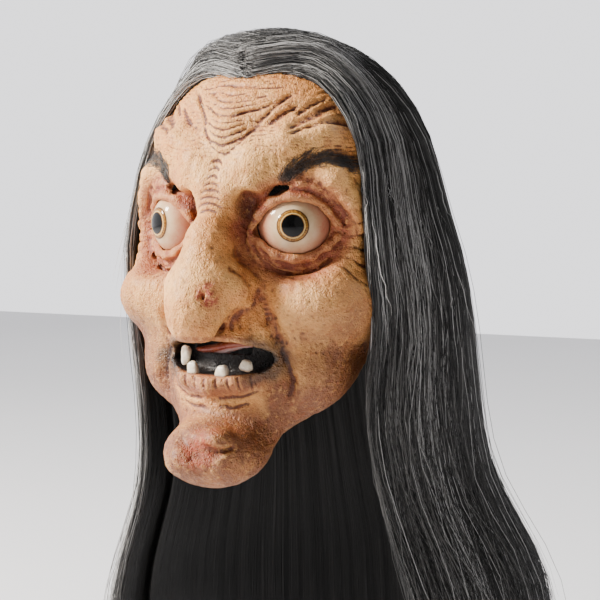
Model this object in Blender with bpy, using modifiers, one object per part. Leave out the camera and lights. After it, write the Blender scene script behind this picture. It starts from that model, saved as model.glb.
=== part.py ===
"""Latex witch mask with a long grey wig, modelled as the pieces it comes apart into.

The frame is in metres with +Z up. The face looks along -Y and its own left is +X.
The origin is where the crown of the wearer's head meets the inside of the cap.
"""

import math

import bmesh
import bpy

# The head that the mask fits: half width, half length and half height of its ellipsoid.
HEAD_X = 0.0755
HEAD_Y = 0.0945
HEAD_Z = 0.0985

# Layers outside that ellipsoid, from the skin outwards: (inner, outer) clearances.
LATEX_WALL = 0.0022
CAP_LAYER = (0.0004, 0.0012)
TAPE_LAYER = (0.0016, 0.0027)
CROWN_LAYER = (0.0120, 0.0160)
CROWN_FRONT = math.radians(-31)
CROWN_BACK = math.radians(73)
CROWN_EDGE = -0.0720
FALL_WALL = 0.0036

# Face: height of each level, with half width, front reach and where the rim stops.
FACE_LEVELS = (
    (-0.008, 0.040, 0.048, 0.012),
    (-0.017, 0.051, 0.060, 0.012),
    (-0.031, 0.063, 0.075, 0.012),
    (-0.048, 0.072, 0.083, 0.013),
    (-0.064, 0.077, 0.088, 0.014),
    (-0.077, 0.079, 0.093, 0.014),
    (-0.0825, 0.0795, 0.093, 0.014),
    (-0.0870, 0.080, 0.092, 0.014),
    (-0.094, 0.080, 0.090, 0.014),
    (-0.103, 0.080, 0.090, 0.014),
    (-0.113, 0.080, 0.088, 0.014),
    (-0.124, 0.080, 0.088, 0.015),
    (-0.137, 0.079, 0.090, 0.016),
    (-0.150, 0.077, 0.092, 0.017),
    (-0.160, 0.075, 0.094, 0.018),
    (-0.168, 0.073, 0.096, 0.021),
    (-0.1725, 0.071, 0.096, 0.022),
    (-0.1755, 0.070, 0.096, 0.023),
    (-0.1830, 0.067, 0.096, 0.027),
    (-0.1905, 0.064, 0.096, 0.032),
    (-0.1935, 0.062, 0.096, 0.034),
    (-0.202, 0.056, 0.096, 0.042),
    (-0.213, 0.046, 0.099, 0.053),
    (-0.223, 0.034, 0.108, 0.066),
    (-0.235, 0.031, 0.117, 0.073),
    (-0.247, 0.027, 0.116, 0.077),
    (-0.258, 0.017, 0.103, 0.080),
)
# Columns of the face, as turns from straight ahead, from the middle to the rim.
FACE_TURNS = (0, 9, 18, 26, 33, 43, 56, 71, 90)

EYE_BALL = 0.0215
EYE_CENTRE = (0.0376, -0.0618, -0.1025)
EYE_TURN = math.radians(27)
EYE_CAP_ANGLE = math.radians(62)
EYE_WALL = 0.0016
EYE_PLAY = 0.0005

SIGHT_LEVEL = -0.0848
SIGHT_REACH = 0.0015
SIGHT_FROM = 0.018
SIGHT_TO = 0.047
MOUTH_HALF = (0.036, 0.0118)
MOUTH_LEVEL = -0.1830
MOUTH_DEPTH = 0.013
BREATH_HALF = (0.022, 0.005)
NOSE_REACH = 0.036
BROW_SWELL = 0.005
SOCKET_DEPTH = 0.008
CHEEK_SWELL = (0.007, 0.014)
TONGUE_SIZE = (0.022, 0.010, 0.0045)
TONGUE_PLACE = (-0.004, -0.069, -0.1795)
TONGUE_TILT = math.radians(-7)

# Teeth: name, place of the root in the mouth, half sizes.
TEETH = (
    ("tooth_upper", (-0.0190, -0.0925, -0.1818), (0.0026, 0.0024, 0.0056)),
    ("tooth_lower_right", (-0.0130, -0.0945, -0.1895), (0.0034, 0.0026, 0.0048)),
    ("tooth_lower_middle", (0.0080, -0.0955, -0.1900), (0.0042, 0.0028, 0.0038)),
    ("tooth_lower_left", (0.0215, -0.0905, -0.1860), (0.0036, 0.0026, 0.0032)),
)

# Edge of the cap: turn from straight ahead in degrees, and height.
CAP_EDGE = (
    (0, -0.0180),
    (25, -0.0220),
    (40, -0.0310),
    (52, -0.0480),
    (62, -0.0800),
    (70, -0.1100),
    (90, -0.1120),
    (120, -0.1170),
    (150, -0.1240),
    (180, -0.1270),
)
CAP_HOLE = math.radians(3)
CAP_COLUMNS = 40

# Rings of the hanging hair: height, shift to the back, half width and half length.
HAIR_RINGS = (
    (-0.074, 0.000, 0.0838, 0.1025),
    (-0.086, 0.001, 0.0868, 0.1060),
    (-0.102, 0.004, 0.0908, 0.1105),
    (-0.125, 0.010, 0.0955, 0.1150),
    (-0.155, 0.018, 0.0975, 0.1165),
    (-0.200, 0.028, 0.0965, 0.1180),
    (-0.240, 0.035, 0.0960, 0.1220),
    (-0.270, 0.041, 0.1000, 0.1280),
    (-0.300, 0.050, 0.1120, 0.1400),
    (-0.335, 0.060, 0.1260, 0.1540),
    (-0.380, 0.064, 0.1320, 0.1600),
    (-0.430, 0.066, 0.1340, 0.1620),
)
UNDER_START = -0.112
UNDER_END = -0.405
UNDER_DEPTH = 0.0078
# Edges of the falls, as turns from straight ahead, in degrees.
FALL_FRONT = 60
UNDER_FRONT = 80
FALL_SPLIT = 138
FALL_GAP = 0.5
FRONT_SQUARENESS = 2.5

STRAP_LEVEL = -0.150
STRAP_RADIUS = 0.0690
STRAP_CENTRE_Y = 0.0140
STRAP_HEIGHT = 0.018
STRAP_WALL = 0.0012
STRAP_FRONT_Y = -0.019
SLIDER_TURN = math.radians(11)


def clear_scene():
    for obj in list(bpy.data.objects):
        bpy.data.objects.remove(obj, do_unlink=True)


def smooth_value(rows, at, column):
    """The value of a column at a height or turn, on a smooth curve through the rows."""
    keys = [row[0] for row in rows]
    if keys[0] > keys[-1]:
        rows = rows[::-1]
        keys = keys[::-1]
    if at <= keys[0]:
        return rows[0][column]
    if at >= keys[-1]:
        return rows[-1][column]
    i = max(k for k in range(len(keys)) if keys[k] <= at)
    i = min(i, len(keys) - 2)
    values = [rows[min(max(i + k, 0), len(rows) - 1)][column] for k in (-1, 0, 1, 2)]
    t = (at - keys[i]) / (keys[i + 1] - keys[i])
    slope_in = (values[2] - values[0]) / 2
    slope_out = (values[3] - values[1]) / 2
    a = 2 * t**3 - 3 * t**2 + 1
    b = t**3 - 2 * t**2 + t
    c = -2 * t**3 + 3 * t**2
    d = t**3 - t**2
    return a * values[1] + b * slope_in + c * values[2] + d * slope_out


def material(name, colour, roughness, metallic=0.0):
    found = bpy.data.materials.get(name)
    if found:
        return found
    made = bpy.data.materials.new(name)
    made.use_nodes = True
    shader = made.node_tree.nodes["Principled BSDF"]
    shader.inputs["Base Color"].default_value = (*colour, 1.0)
    shader.inputs["Roughness"].default_value = roughness
    shader.inputs["Metallic"].default_value = metallic
    return made


def painted_latex():
    return material("painted_latex", (0.71, 0.48, 0.30), 0.55)


def hair_fibre():
    return material("grey_hair", (0.09, 0.09, 0.085), 0.45)


def black_net():
    return material("black_net", (0.02, 0.02, 0.02), 0.9)


def elastic_web():
    return material("elastic_web", (0.03, 0.03, 0.03), 0.85)


def object_from(mesh_maker, name, look, place):
    mesh = bpy.data.meshes.new(name)
    work = bmesh.new()
    mesh_maker(work)
    work.to_mesh(mesh)
    work.free()
    obj = bpy.data.objects.new(name, mesh)
    obj.data.materials.append(look)
    place.objects.link(obj)
    mesh.shade_smooth()
    return obj


def grid_faces(work, rows):
    """Joins rows of points into quads; None leaves a hole."""
    grid = [[work.verts.new(p) for p in row] for row in rows]
    for upper, lower in zip(grid, grid[1:]):
        for i in range(len(upper) - 1):
            work.faces.new((upper[i], lower[i], lower[i + 1], upper[i + 1]))
    return grid


def thicken(obj, wall, offset):
    """Solidify: offset -1 grows against the normals, +1 along them."""
    solid = obj.modifiers.new("Wall", "SOLIDIFY")
    solid.thickness = wall
    solid.offset = offset
    solid.use_even_offset = False
    return solid


def smoothed(obj, levels=1):
    soft = obj.modifiers.new("Soft", "SUBSURF")
    soft.levels = levels
    soft.render_levels = levels
    return soft


def move_to(obj, place):
    for old in list(obj.users_collection):
        old.objects.unlink(obj)
    place.objects.link(obj)


def hide_cutter(obj, name, cutters):
    obj.name = name
    obj.hide_render = True
    obj.display_type = "WIRE"
    move_to(obj, cutters)
    return obj


def cut_out(obj, cutter):
    cut = obj.modifiers.new("Cut", "BOOLEAN")
    cut.operation = "DIFFERENCE"
    cut.object = cutter


def bump(distance, size):
    return math.exp(-((distance / size) ** 2))


def nose_reach(x, z):
    """How far the nose stands out of the face at this place."""
    start, tip, end = -0.084, -0.158, -0.181
    if z >= start or z <= end:
        return 0.0
    if z > tip:
        rise = math.sin(math.pi / 2 * (start - z) / (start - tip)) ** 1.5
    else:
        rise = math.cos(math.pi / 2 * (tip - z) / (tip - end))
    half_width = 0.010 + 0.011 * min(1.0, (start - z) / (start - tip))
    return NOSE_REACH * rise * bump(x, half_width)


def mouth_share(x, z):
    """From 0 on the lips to 1 on the floor of the recess behind them."""
    outside = (x / MOUTH_HALF[0]) ** 2 + ((z - MOUTH_LEVEL) / MOUTH_HALF[1]) ** 2
    share = min(max((1.05 - outside) / 0.55, 0.0), 1.0)
    return share * share * (3 - 2 * share)


def face_point(level, turn):
    """A point of the outer skin at a level of FACE_LEVELS and a turn from ahead."""
    z, half_width, front, back = level
    x = half_width * math.sin(turn)
    y = -(back + (front - back) * math.cos(turn))
    side = abs(x)
    y -= nose_reach(x, z)
    brow = bump(side - 0.036, 0.022) * bump(z + 0.078, 0.012)
    socket = bump(side - 0.045, 0.020) * bump(z + 0.106, 0.017)
    cheek = bump(side - 0.058, 0.020) * bump(z + 0.150, 0.019)
    mouth = mouth_share(x, z)
    y -= BROW_SWELL * brow - SOCKET_DEPTH * socket + CHEEK_SWELL[1] * cheek - MOUTH_DEPTH * mouth
    x += math.copysign(CHEEK_SWELL[0] * cheek, x) if side > 1e-6 else 0.0
    return (x, y, z)


def is_cut_out(x, z):
    """True where the skin is open: the sight slots under the brows, the breathing slot."""
    side = abs(x)
    sight = SIGHT_FROM < side < SIGHT_TO and abs(z - SIGHT_LEVEL) < SIGHT_REACH
    breath = side < BREATH_HALF[0] and abs(z - MOUTH_LEVEL) < BREATH_HALF[1]
    return sight or breath


def make_eye_seat(side, name, cutters):
    """The round space that an eye fills, cut out of the face around it."""
    bpy.ops.mesh.primitive_uv_sphere_add(
        segments=28,
        ring_count=14,
        radius=EYE_BALL + EYE_PLAY,
        location=(side * EYE_CENTRE[0], EYE_CENTRE[1], EYE_CENTRE[2]),
    )
    return hide_cutter(bpy.context.object, name, cutters)


def make_latex_face(place, seats):
    turns = [math.radians(-t) for t in FACE_TURNS[:0:-1]]
    turns += [math.radians(t) for t in FACE_TURNS]

    def build(work):
        rows = [[face_point(level, turn) for turn in turns] for level in FACE_LEVELS]
        grid_faces(work, rows)
        open_faces = []
        for face in work.faces:
            centre = face.calc_center_median()
            if is_cut_out(centre.x, centre.z):
                open_faces.append(face)
        bmesh.ops.delete(work, geom=open_faces, context="FACES")

    face = object_from(build, "latex_face", painted_latex(), place)
    smoothed(face)
    thicken(face, LATEX_WALL, -1)
    for seat in seats:
        cut_out(face, seat)
    return face


def make_eye(side, name, place):
    """A thin dome, which rests behind the lids and looks a little outwards."""
    turn = side * EYE_TURN
    centre = (side * EYE_CENTRE[0], EYE_CENTRE[1], EYE_CENTRE[2])

    def build(work):
        ring_count, side_count = 5, 20
        pole = work.verts.new((0, -EYE_BALL, 0))
        last = None
        for k in range(1, ring_count + 1):
            out = EYE_CAP_ANGLE * k / ring_count
            ring = []
            for j in range(side_count):
                spin = 2 * math.pi * j / side_count
                r = EYE_BALL * math.sin(out)
                ring.append(
                    work.verts.new(
                        (r * math.cos(spin), -EYE_BALL * math.cos(out), r * math.sin(spin))
                    )
                )
            for j in range(side_count):
                n = (j + 1) % side_count
                if last is None:
                    work.faces.new((pole, ring[j], ring[n]))
                else:
                    work.faces.new((last[j], ring[j], ring[n], last[n]))
            last = ring

    eye = object_from(build, name, material("eye_plastic", (0.85, 0.80, 0.70), 0.12), place)
    eye.location = centre
    eye.rotation_euler = (0, 0, turn)
    thicken(eye, EYE_WALL, -1)
    return eye


def make_tooth(name, root, half, place):
    """A worn stub of a tooth: a low sphere squared off and tapered to its root."""

    def build(work):
        bmesh.ops.create_icosphere(work, subdivisions=2, radius=1.0)
        for v in work.verts:
            square = max(abs(c) for c in v.co) ** 0.35
            taper = 1.0 - 0.18 * v.co.z
            v.co.x = v.co.x / square * half[0] * taper
            v.co.y = v.co.y / square * half[1] * taper
            v.co.z = v.co.z / square * half[2]

    tooth = object_from(build, name, material("tooth_resin", (0.80, 0.78, 0.70), 0.35), place)
    tooth.location = root
    return tooth


def make_tongue(place):
    """A flattened tongue in the breathing slot, its tip towards the right corner."""

    def build(work):
        bmesh.ops.create_uvsphere(work, u_segments=16, v_segments=10, radius=1.0)
        for v in work.verts:
            narrow = 0.70 + 0.30 * (v.co.x + 1) / 2
            v.co.x *= TONGUE_SIZE[0]
            v.co.y *= TONGUE_SIZE[1]
            v.co.z *= TONGUE_SIZE[2] * narrow

    tongue = object_from(build, "tongue", material("tongue_latex", (0.30, 0.06, 0.03), 0.5), place)
    tongue.location = TONGUE_PLACE
    tongue.rotation_euler = (0, TONGUE_TILT, 0)
    return tongue


def dome_point(polar, turn, clearance):
    """A point a clearance outside the head, from the crown (polar 0) downwards."""
    return (
        (HEAD_X + clearance) * math.sin(polar) * math.sin(turn),
        -(HEAD_Y + clearance) * math.sin(polar) * math.cos(turn),
        -HEAD_Z + (HEAD_Z + clearance) * math.cos(polar),
    )


def cap_edge_polar(turn):
    height = smooth_value(CAP_EDGE, abs(math.degrees(turn)), 1)
    return math.acos((height + HEAD_Z) / HEAD_Z)


def ring_turns(count):
    return [2 * math.pi * j / count - math.pi for j in range(count)]


def make_wig_cap(place):
    """The stretch net cap, open at the face and closed at the crown."""
    rows, count = 9, CAP_COLUMNS
    inner, outer = CAP_LAYER

    def build(work):
        turns = ring_turns(count)
        last = None
        for k in range(rows + 1):
            ring = []
            for turn in turns:
                polar = CAP_HOLE + (cap_edge_polar(turn) - CAP_HOLE) * k / rows
                ring.append(work.verts.new(dome_point(polar, turn, outer)))
            if last is None:
                work.faces.new(ring)
            else:
                for j in range(count):
                    n = (j + 1) % count
                    work.faces.new((last[j], ring[j], ring[n], last[n]))
            last = ring
        bmesh.ops.recalc_face_normals(work, faces=work.faces)

    cap = object_from(build, "wig_cap", black_net(), place)
    thicken(cap, outer - inner, -1)
    return cap


def make_band(name, place, point_at, turns, look, wall):
    """A thin band: point_at(turn, edge) gives its upper edge at 0 and its lower at 1."""

    def build(work):
        rows = [[point_at(turn, edge) for turn in turns] for edge in (0.0, 1.0)]
        grid_faces(work, rows)

    band = object_from(build, name, look, place)
    thicken(band, wall, -1)
    return band


def spread_turns(low, high, count):
    return [math.radians(low + (high - low) * j / (count - 1)) for j in range(count)]


def cap_turns(low, high):
    """Turns at the cap's own columns, so that a band lies parallel to its facets."""
    step = 360 / CAP_COLUMNS
    return [math.radians(low + step * k) for k in range(round((high - low) / step) + 1)]


def make_weft_tapes(place):
    """The sewn tapes that hold the hair: along the hairline and in rows round the cap."""
    inner, outer = TAPE_LAYER
    rows = (
        ("weft_tape_upper", 90, -0.078),
        ("weft_tape_middle", 90, -0.091),
        ("weft_tape_lower", 99, -0.104),
    )
    for name, low, height in rows:

        def at(turn, edge, height=height):
            z = height - 0.006 * edge
            return dome_point(math.acos((z + HEAD_Z) / HEAD_Z), turn, outer)

        turns = cap_turns(low, 360 - low)
        make_band(name, place, at, turns, black_net(), outer - inner)


def make_nape_elastic(place):
    """The elastic sewn along the inside of the cap's rear edge, from ear to ear."""
    wall = 0.0010
    clearance = CAP_LAYER[0] - 0.0011

    def at(turn, edge):
        polar = cap_edge_polar(abs(turn) if turn <= math.pi else 2 * math.pi - turn)
        return dome_point(polar - (0.009 * (1 - edge) + 0.001) / HEAD_Z, turn, clearance)

    make_band("nape_elastic", place, at, cap_turns(117, 243), elastic_web(), wall)


def crown_point(roll, along, clearance):
    """A point over the cap: roll from the parting down the side, along from the front."""
    return (
        (HEAD_X + clearance) * math.sin(roll) * math.cos(along),
        (HEAD_Y + clearance) * math.sin(along),
        -HEAD_Z + (HEAD_Z + clearance) * math.cos(roll) * math.cos(along),
    )


def make_crown_half(side, name, place):
    """Half of the top hair, from the parting down to where the falls begin."""
    inner, outer = CROWN_LAYER
    columns, rows = 12, 7
    parting = 0.0012 / HEAD_X
    edge = (CROWN_EDGE + HEAD_Z) / (HEAD_Z + outer)

    def build(work):
        grid = []
        for k in range(rows):
            row = []
            for j in range(columns):
                along = CROWN_FRONT + (CROWN_BACK - CROWN_FRONT) * j / (columns - 1)
                lowest = math.acos(edge / math.cos(along))
                roll = parting + (lowest - parting) * k / (rows - 1)
                x, y, z = crown_point(roll, along, outer)
                row.append((side * max(x, 0.0006), y, z))
            grid.append(row)
        grid_faces(work, grid if side > 0 else [row[::-1] for row in grid])

    half = object_from(build, name, hair_fibre(), place)
    thicken(half, outer - inner, -1)
    return half


def hair_point(turn, height, depth):
    """A point of the hanging hair, depth inside its outer surface."""
    shift = smooth_value(HAIR_RINGS, height, 1)
    half_width = smooth_value(HAIR_RINGS, height, 2) - depth
    half_length = smooth_value(HAIR_RINGS, height, 3) - depth
    across, ahead = math.sin(turn), math.cos(turn)
    if ahead > 0:
        power = 2 / FRONT_SQUARENESS
        across = math.copysign(abs(across) ** power, across)
        ahead = ahead**power
    return (half_width * across, shift - half_length * ahead, height)


def make_fall(name, low, high, start, end, depth, place):
    """A curtain of hair between two turns, hanging from start to end."""
    columns = max(5, round((high - low) / 11))
    heights = [h[0] for h in HAIR_RINGS if end <= h[0] <= start]
    if heights[0] != start:
        heights = [start] + heights
    if heights[-1] != end:
        heights = heights + [end]

    def build(work):
        turns = spread_turns(low, high, columns)
        grid_faces(work, [[hair_point(t, z, depth) for t in turns] for z in heights])

    fall = object_from(build, name, hair_fibre(), place)
    thicken(fall, FALL_WALL, -1)
    return fall


def make_falls(place):
    """Outer curtains from the upper tape, and shorter ones inside them from the lower."""
    top, bottom = HAIR_RINGS[0][0], HAIR_RINGS[-1][0]
    layers = (
        ("fall", FALL_FRONT, top, bottom, 0.0),
        ("under", UNDER_FRONT, UNDER_START, UNDER_END, UNDER_DEPTH),
    )
    for layer, front, start, end, depth in layers:
        left, right = FALL_SPLIT - FALL_GAP, FALL_SPLIT + FALL_GAP
        spans = (
            ("left", front, left),
            ("back", right, 360 - right),
            ("right", 360 - left, 360 - front),
        )
        for where, low, high in spans:
            make_fall(f"hair_{layer}_{where}", low, high, start, end, depth, place)


def strap_path(spread):
    """The U that the head strap follows, offset by spread, from the left tab round."""
    points = [(STRAP_RADIUS + spread, STRAP_FRONT_Y)]
    for k in range(25):
        turn = math.pi / 2 - math.pi * k / 24
        points.append(
            (
                (STRAP_RADIUS + spread) * math.sin(turn),
                STRAP_CENTRE_Y + (STRAP_RADIUS + spread) * math.cos(turn),
            )
        )
    points.append((-STRAP_RADIUS - spread, STRAP_FRONT_Y))
    return points


def make_head_strap(place):
    top = STRAP_LEVEL + STRAP_HEIGHT / 2
    bottom = STRAP_LEVEL - STRAP_HEIGHT / 2

    def build(work):
        path = strap_path(STRAP_WALL / 2)
        grid_faces(work, [[(x, y, z) for x, y in path] for z in (top, bottom)])

    strap = object_from(build, "head_strap", elastic_web(), place)
    thicken(strap, STRAP_WALL, -1)
    return strap


def make_strap_tabs(place):
    """Patches glued inside the cheeks, which the ends of the strap are sewn to."""
    wall, clearance = 0.0008, 0.0004
    for side, name in ((1, "strap_tab_left"), (-1, "strap_tab_right")):
        x = side * (STRAP_RADIUS + STRAP_WALL / 2 + clearance + wall / 2)
        bpy.ops.mesh.primitive_cube_add(size=1.0, location=(x, -0.0235, STRAP_LEVEL))
        tab = bpy.context.object
        tab.name = name
        tab.scale = (wall, 0.010, STRAP_HEIGHT + 0.004)
        tab.data.materials.append(elastic_web())
        move_to(tab, place)


def make_slider(place, cutters):
    """The plastic slider that the strap is threaded through; it turns with the strap's arc."""
    play = 0.0004
    wall = 0.0014
    window = STRAP_HEIGHT / 2 + play
    outer_edge = window + 0.0022

    def block(name, radii, turn, heights):
        def build(work):
            steps = 7
            corners = []
            for z in heights:
                for radius in radii:
                    arc = []
                    for k in range(steps):
                        a = -turn + 2 * turn * k / (steps - 1)
                        arc.append(
                            work.verts.new(
                                (
                                    radius * math.sin(a),
                                    STRAP_CENTRE_Y + radius * math.cos(a),
                                    STRAP_LEVEL + z,
                                )
                            )
                        )
                    corners.append(arc)
            low_in, low_out, high_in, high_out = corners
            for k in range(steps - 1):
                for a, b in (
                    (low_in, low_out),
                    (low_out, high_out),
                    (high_out, high_in),
                    (high_in, low_in),
                ):
                    work.faces.new((a[k], b[k], b[k + 1], a[k + 1]))
            work.faces.new((low_in[0], high_in[0], high_out[0], low_out[0]))
            work.faces.new((low_in[-1], low_out[-1], high_out[-1], high_in[-1]))
            bmesh.ops.recalc_face_normals(work, faces=work.faces)

        return object_from(build, name, material("slider_plastic", (0.02, 0.02, 0.022), 0.4), place)

    inner = STRAP_RADIUS - STRAP_WALL / 2 - play
    outer = STRAP_RADIUS + STRAP_WALL / 2 + play
    slider = block(
        "strap_slider", (inner - wall, outer + wall), SLIDER_TURN, (-outer_edge, outer_edge)
    )
    cutter = block("slider_window", (inner, outer), SLIDER_TURN * 1.5, (-window, window))
    cut_out(slider, hide_cutter(cutter, "slider_window", cutters))
    return slider


def main():
    clear_scene()
    mask = bpy.data.collections.new("latex_witch_mask")
    bpy.context.scene.collection.children.link(mask)
    cutters = bpy.data.collections.new("cutters")
    bpy.context.scene.collection.children.link(cutters)
    sides = ((1, "left"), (-1, "right"))
    seats = [make_eye_seat(side, f"eye_seat_{where}", cutters) for side, where in sides]
    make_latex_face(mask, seats)
    for side, where in sides:
        make_eye(side, f"eye_{where}", mask)
    for name, root, half in TEETH:
        make_tooth(name, root, half, mask)
    make_tongue(mask)
    make_wig_cap(mask)
    make_weft_tapes(mask)
    make_nape_elastic(mask)
    make_crown_half(1, "hair_crown_left", mask)
    make_crown_half(-1, "hair_crown_right", mask)
    make_falls(mask)
    make_head_strap(mask)
    make_strap_tabs(mask)
    make_slider(mask, cutters)


main()
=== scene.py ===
import math

import bpy
import numpy as np
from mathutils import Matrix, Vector
from mathutils.kdtree import KDTree


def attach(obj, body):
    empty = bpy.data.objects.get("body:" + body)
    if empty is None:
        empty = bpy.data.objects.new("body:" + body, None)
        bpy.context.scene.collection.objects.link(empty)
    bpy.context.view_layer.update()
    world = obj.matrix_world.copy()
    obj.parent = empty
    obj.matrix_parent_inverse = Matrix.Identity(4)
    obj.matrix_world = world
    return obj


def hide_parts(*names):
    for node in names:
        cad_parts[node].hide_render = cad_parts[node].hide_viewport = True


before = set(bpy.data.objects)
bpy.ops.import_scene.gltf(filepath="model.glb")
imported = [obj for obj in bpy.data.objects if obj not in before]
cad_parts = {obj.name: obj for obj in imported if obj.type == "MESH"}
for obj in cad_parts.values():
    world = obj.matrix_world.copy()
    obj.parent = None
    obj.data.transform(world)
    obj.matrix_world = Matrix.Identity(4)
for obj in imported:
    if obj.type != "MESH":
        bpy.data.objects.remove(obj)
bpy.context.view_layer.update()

print("frame loaded:", len(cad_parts), "nodes")

mm = 0.001
maskBody = "mask"


# small tools for fields, which are negative inside and positive outside, in millimetres
def softUnion(a, b, soft):
    near = np.clip(soft - np.abs(a - b), 0, None)
    return np.minimum(a, b) - near * near * 0.25 / soft


def softCut(a, b, soft):
    return -softUnion(-a, b, soft)


def egg(p, centre, radii):
    q = [(p[i] - centre[i]) / radii[i] for i in range(3)]
    far = np.sqrt(q[0] ** 2 + q[1] ** 2 + q[2] ** 2)
    slope = np.sqrt(sum((q[i] / radii[i]) ** 2 for i in range(3)))
    return far * (far - 1) / np.maximum(slope, 1e-4)


def rod(p, start, end):
    along = [end[i] - start[i] for i in range(3)]
    share = sum((p[i] - start[i]) * along[i] for i in range(3)) / sum(a * a for a in along)
    share = np.clip(share, 0, 1)
    gap = np.sqrt(sum((p[i] - start[i] - along[i] * share) ** 2 for i in range(3)))
    return gap - (start[3] + (end[3] - start[3]) * share)


def rope(p, knots):
    found = None
    for start, end in zip(knots, knots[1:]):
        piece = rod(p, start, end)
        found = piece if found is None else softUnion(found, piece, 3.0)
    return found


def valueNoise(p, size, seed):
    count = 24
    lattice = np.random.default_rng(seed).random((count, count, count)).astype(np.float32)
    cell = [np.floor(c / size).astype(np.int64) for c in p]
    part = [c / size - k for c, k in zip(p, cell)]
    ease = [t * t * (3 - 2 * t) for t in part]
    total = 0
    for dx in (0, 1):
        for dy in (0, 1):
            for dz in (0, 1):
                weight = 1
                for i, d in enumerate((dx, dy, dz)):
                    weight = weight * (ease[i] if d else 1 - ease[i])
                corner = lattice[(cell[0] + dx) % count, (cell[1] + dy) % count, (cell[2] + dz) % count]
                total = total + weight * corner
    return total * 2 - 1


def smoothStep(low, high, value):
    t = np.clip((value - low) / (high - low), 0, 1)
    return t * t * (3 - 2 * t)


# the latex skin
skin = {
    "step": 1.0,          # size of the sculpting grid
    "wall": 2.4,          # thickness of the latex
    "low": (-92.0, -136.0, -271.0),
    "high": (92.0, -6.0, -4.0),
    # height, half width, front reach, where the back edge is
    "levels": (
        (-4, 35, 42, 12), (-8, 42, 48, 12), (-17, 54, 60, 12), (-31, 66, 74, 12),
        (-48, 75, 79, 13), (-64, 78, 82, 14), (-77, 79, 85, 14), (-88, 80, 84, 14),
        (-100, 80, 82, 14), (-113, 80, 84, 14), (-124, 80, 86, 15), (-137, 79, 87, 16),
        (-150, 77, 88, 17), (-160, 75, 89, 18), (-172, 71, 90, 22), (-183, 68, 90, 27),
        (-193, 65, 90, 33), (-203, 59, 89, 41), (-214, 47, 90, 54), (-225, 34, 91, 68),
        (-236, 28, 93, 75), (-247, 21, 86, 78), (-258, 12, 74, 78),
    ),
    "middle": (0.0, -15.0, -130.0),
    "eyeCentre": (37.6, -61.8, -102.5),
    "eyeTurn": 27.0,
    "eyeBall": 21.5,
    "mouthCentre": (-0.5, -180.0),
    "mouthHalf": (35.0, 10.2),
    "mouthFloor": -80.0,
    # eyebrow line: distance round the face, height
    "browLine": ((36, -80), (44, -73), (55, -66), (67, -63), (78, -66), (87, -74)),
    # painted sores: place, size, strength
    "redSpots": (((11.5, -118, -142), 7.6, 1.2), ((4, -117, -232), 12, 0.9),
                 ((2, -115, -221), 7, 0.6), ((-74, -52, -135), 6, 0.8),
                 ((-30, -88, -150), 5, 0.3), ((13, -112, -222), 5, 0.4)),
    # places round an eye: across the gaze, up, ahead of the eye centre, radius
    "lidRidges": (
        ((-26, -3, 9, 1.8), (-20, 6, 11, 2.7), (-12, 13.6, 14.5, 3.0), (-1, 17.0, 15.5, 3.1),
         (10, 16.2, 13.5, 3.1), (19.5, 9.6, 10.5, 3.0), (25.5, 1.4, 8, 2.6), (31, -4.5, 6, 1.8)),
        ((-26, -5.5, 9, 1.8), (-20, -11, 11, 2.6), (-11, -17.3, 13.5, 3.0), (0, -19.8, 13.5, 3.2),
         (11, -18.6, 12, 3.1), (20, -12.8, 10, 2.8), (26, -7.5, 8, 2.3), (31, -5.5, 6, 1.7)),
        ((-27, -9, 9, 1.6), (-20, -18, 10, 2.4), (-10, -24.6, 11, 2.8), (2, -26.6, 11, 2.9),
         (13, -24.4, 10, 2.8), (22, -17.5, 8.5, 2.6), (31, -10.5, 6, 1.7)),
        ((-24, -16, 9, 1.4), (-13, -28.5, 10, 2.2), (0, -32, 10, 2.5), (13, -30, 9, 2.4),
         (24, -22.5, 8, 2.1), (33, -14.5, 5, 1.4)),
        ((-5, 22.0, 15.0, 1.2), (4, 24, 14.5, 2.3), (13, 22.6, 12.5, 2.6), (22, 16.4, 10, 2.7),
         (29, 7, 7, 2.4), (35, -3, 4, 1.4)),
    ),
    "lidFolds": (
        ((-24, -8, 11.5, 0.5), (-16, -17.5, 13.5, 0.9), (-5, -23, 14.5, 1.0), (7, -23, 14, 1.0),
         (18, -17.5, 12, 0.9), (28, -8.5, 8.5, 0.5)),
        ((-24, -14, 11, 0.5), (-15, -25, 12.5, 0.9), (-2, -29.6, 13, 1.0), (10, -28.2, 12.5, 1.0),
         (21, -21, 10.5, 0.9), (31, -12.5, 7, 0.5)),
        ((-2, 20.8, 17.5, 0.6), (8, 20.4, 16.5, 1.0), (17, 15.9, 14, 1.1), (25, 7.2, 10.5, 1.0),
         (32, -2, 7, 0.5)),
        ((22, 21, 10.5, 0.6), (29, 14, 8.5, 1.2), (34.5, 5, 5.5, 1.0), (39, -2, 2, 0.5)),
        ((29, -4.6, 9, 0.5), (35, -4.8, 5, 0.8), (41, -5.5, -1, 0.4)),
    ),
    "browRecess": ((-18, 13, 15, 2.0), (-11, 18, 15.5, 3.4), (-4, 21, 16, 2.6)),
    "sightSlot": ((-14, 0, 17.6, 0.7), (-9, 0, 20.4, 2.2), (-3.5, 0, 21.8, 1.4)),
}


def levelCurve(z, column):
    rows = np.array(skin["levels"][::-1], float)
    raw = np.interp(z, rows[:, 0], rows[:, column])
    kernel = np.hanning(15)
    padded = np.pad(raw, 7, mode="edge")
    return np.convolve(padded, kernel / kernel.sum(), mode="valid")


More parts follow.
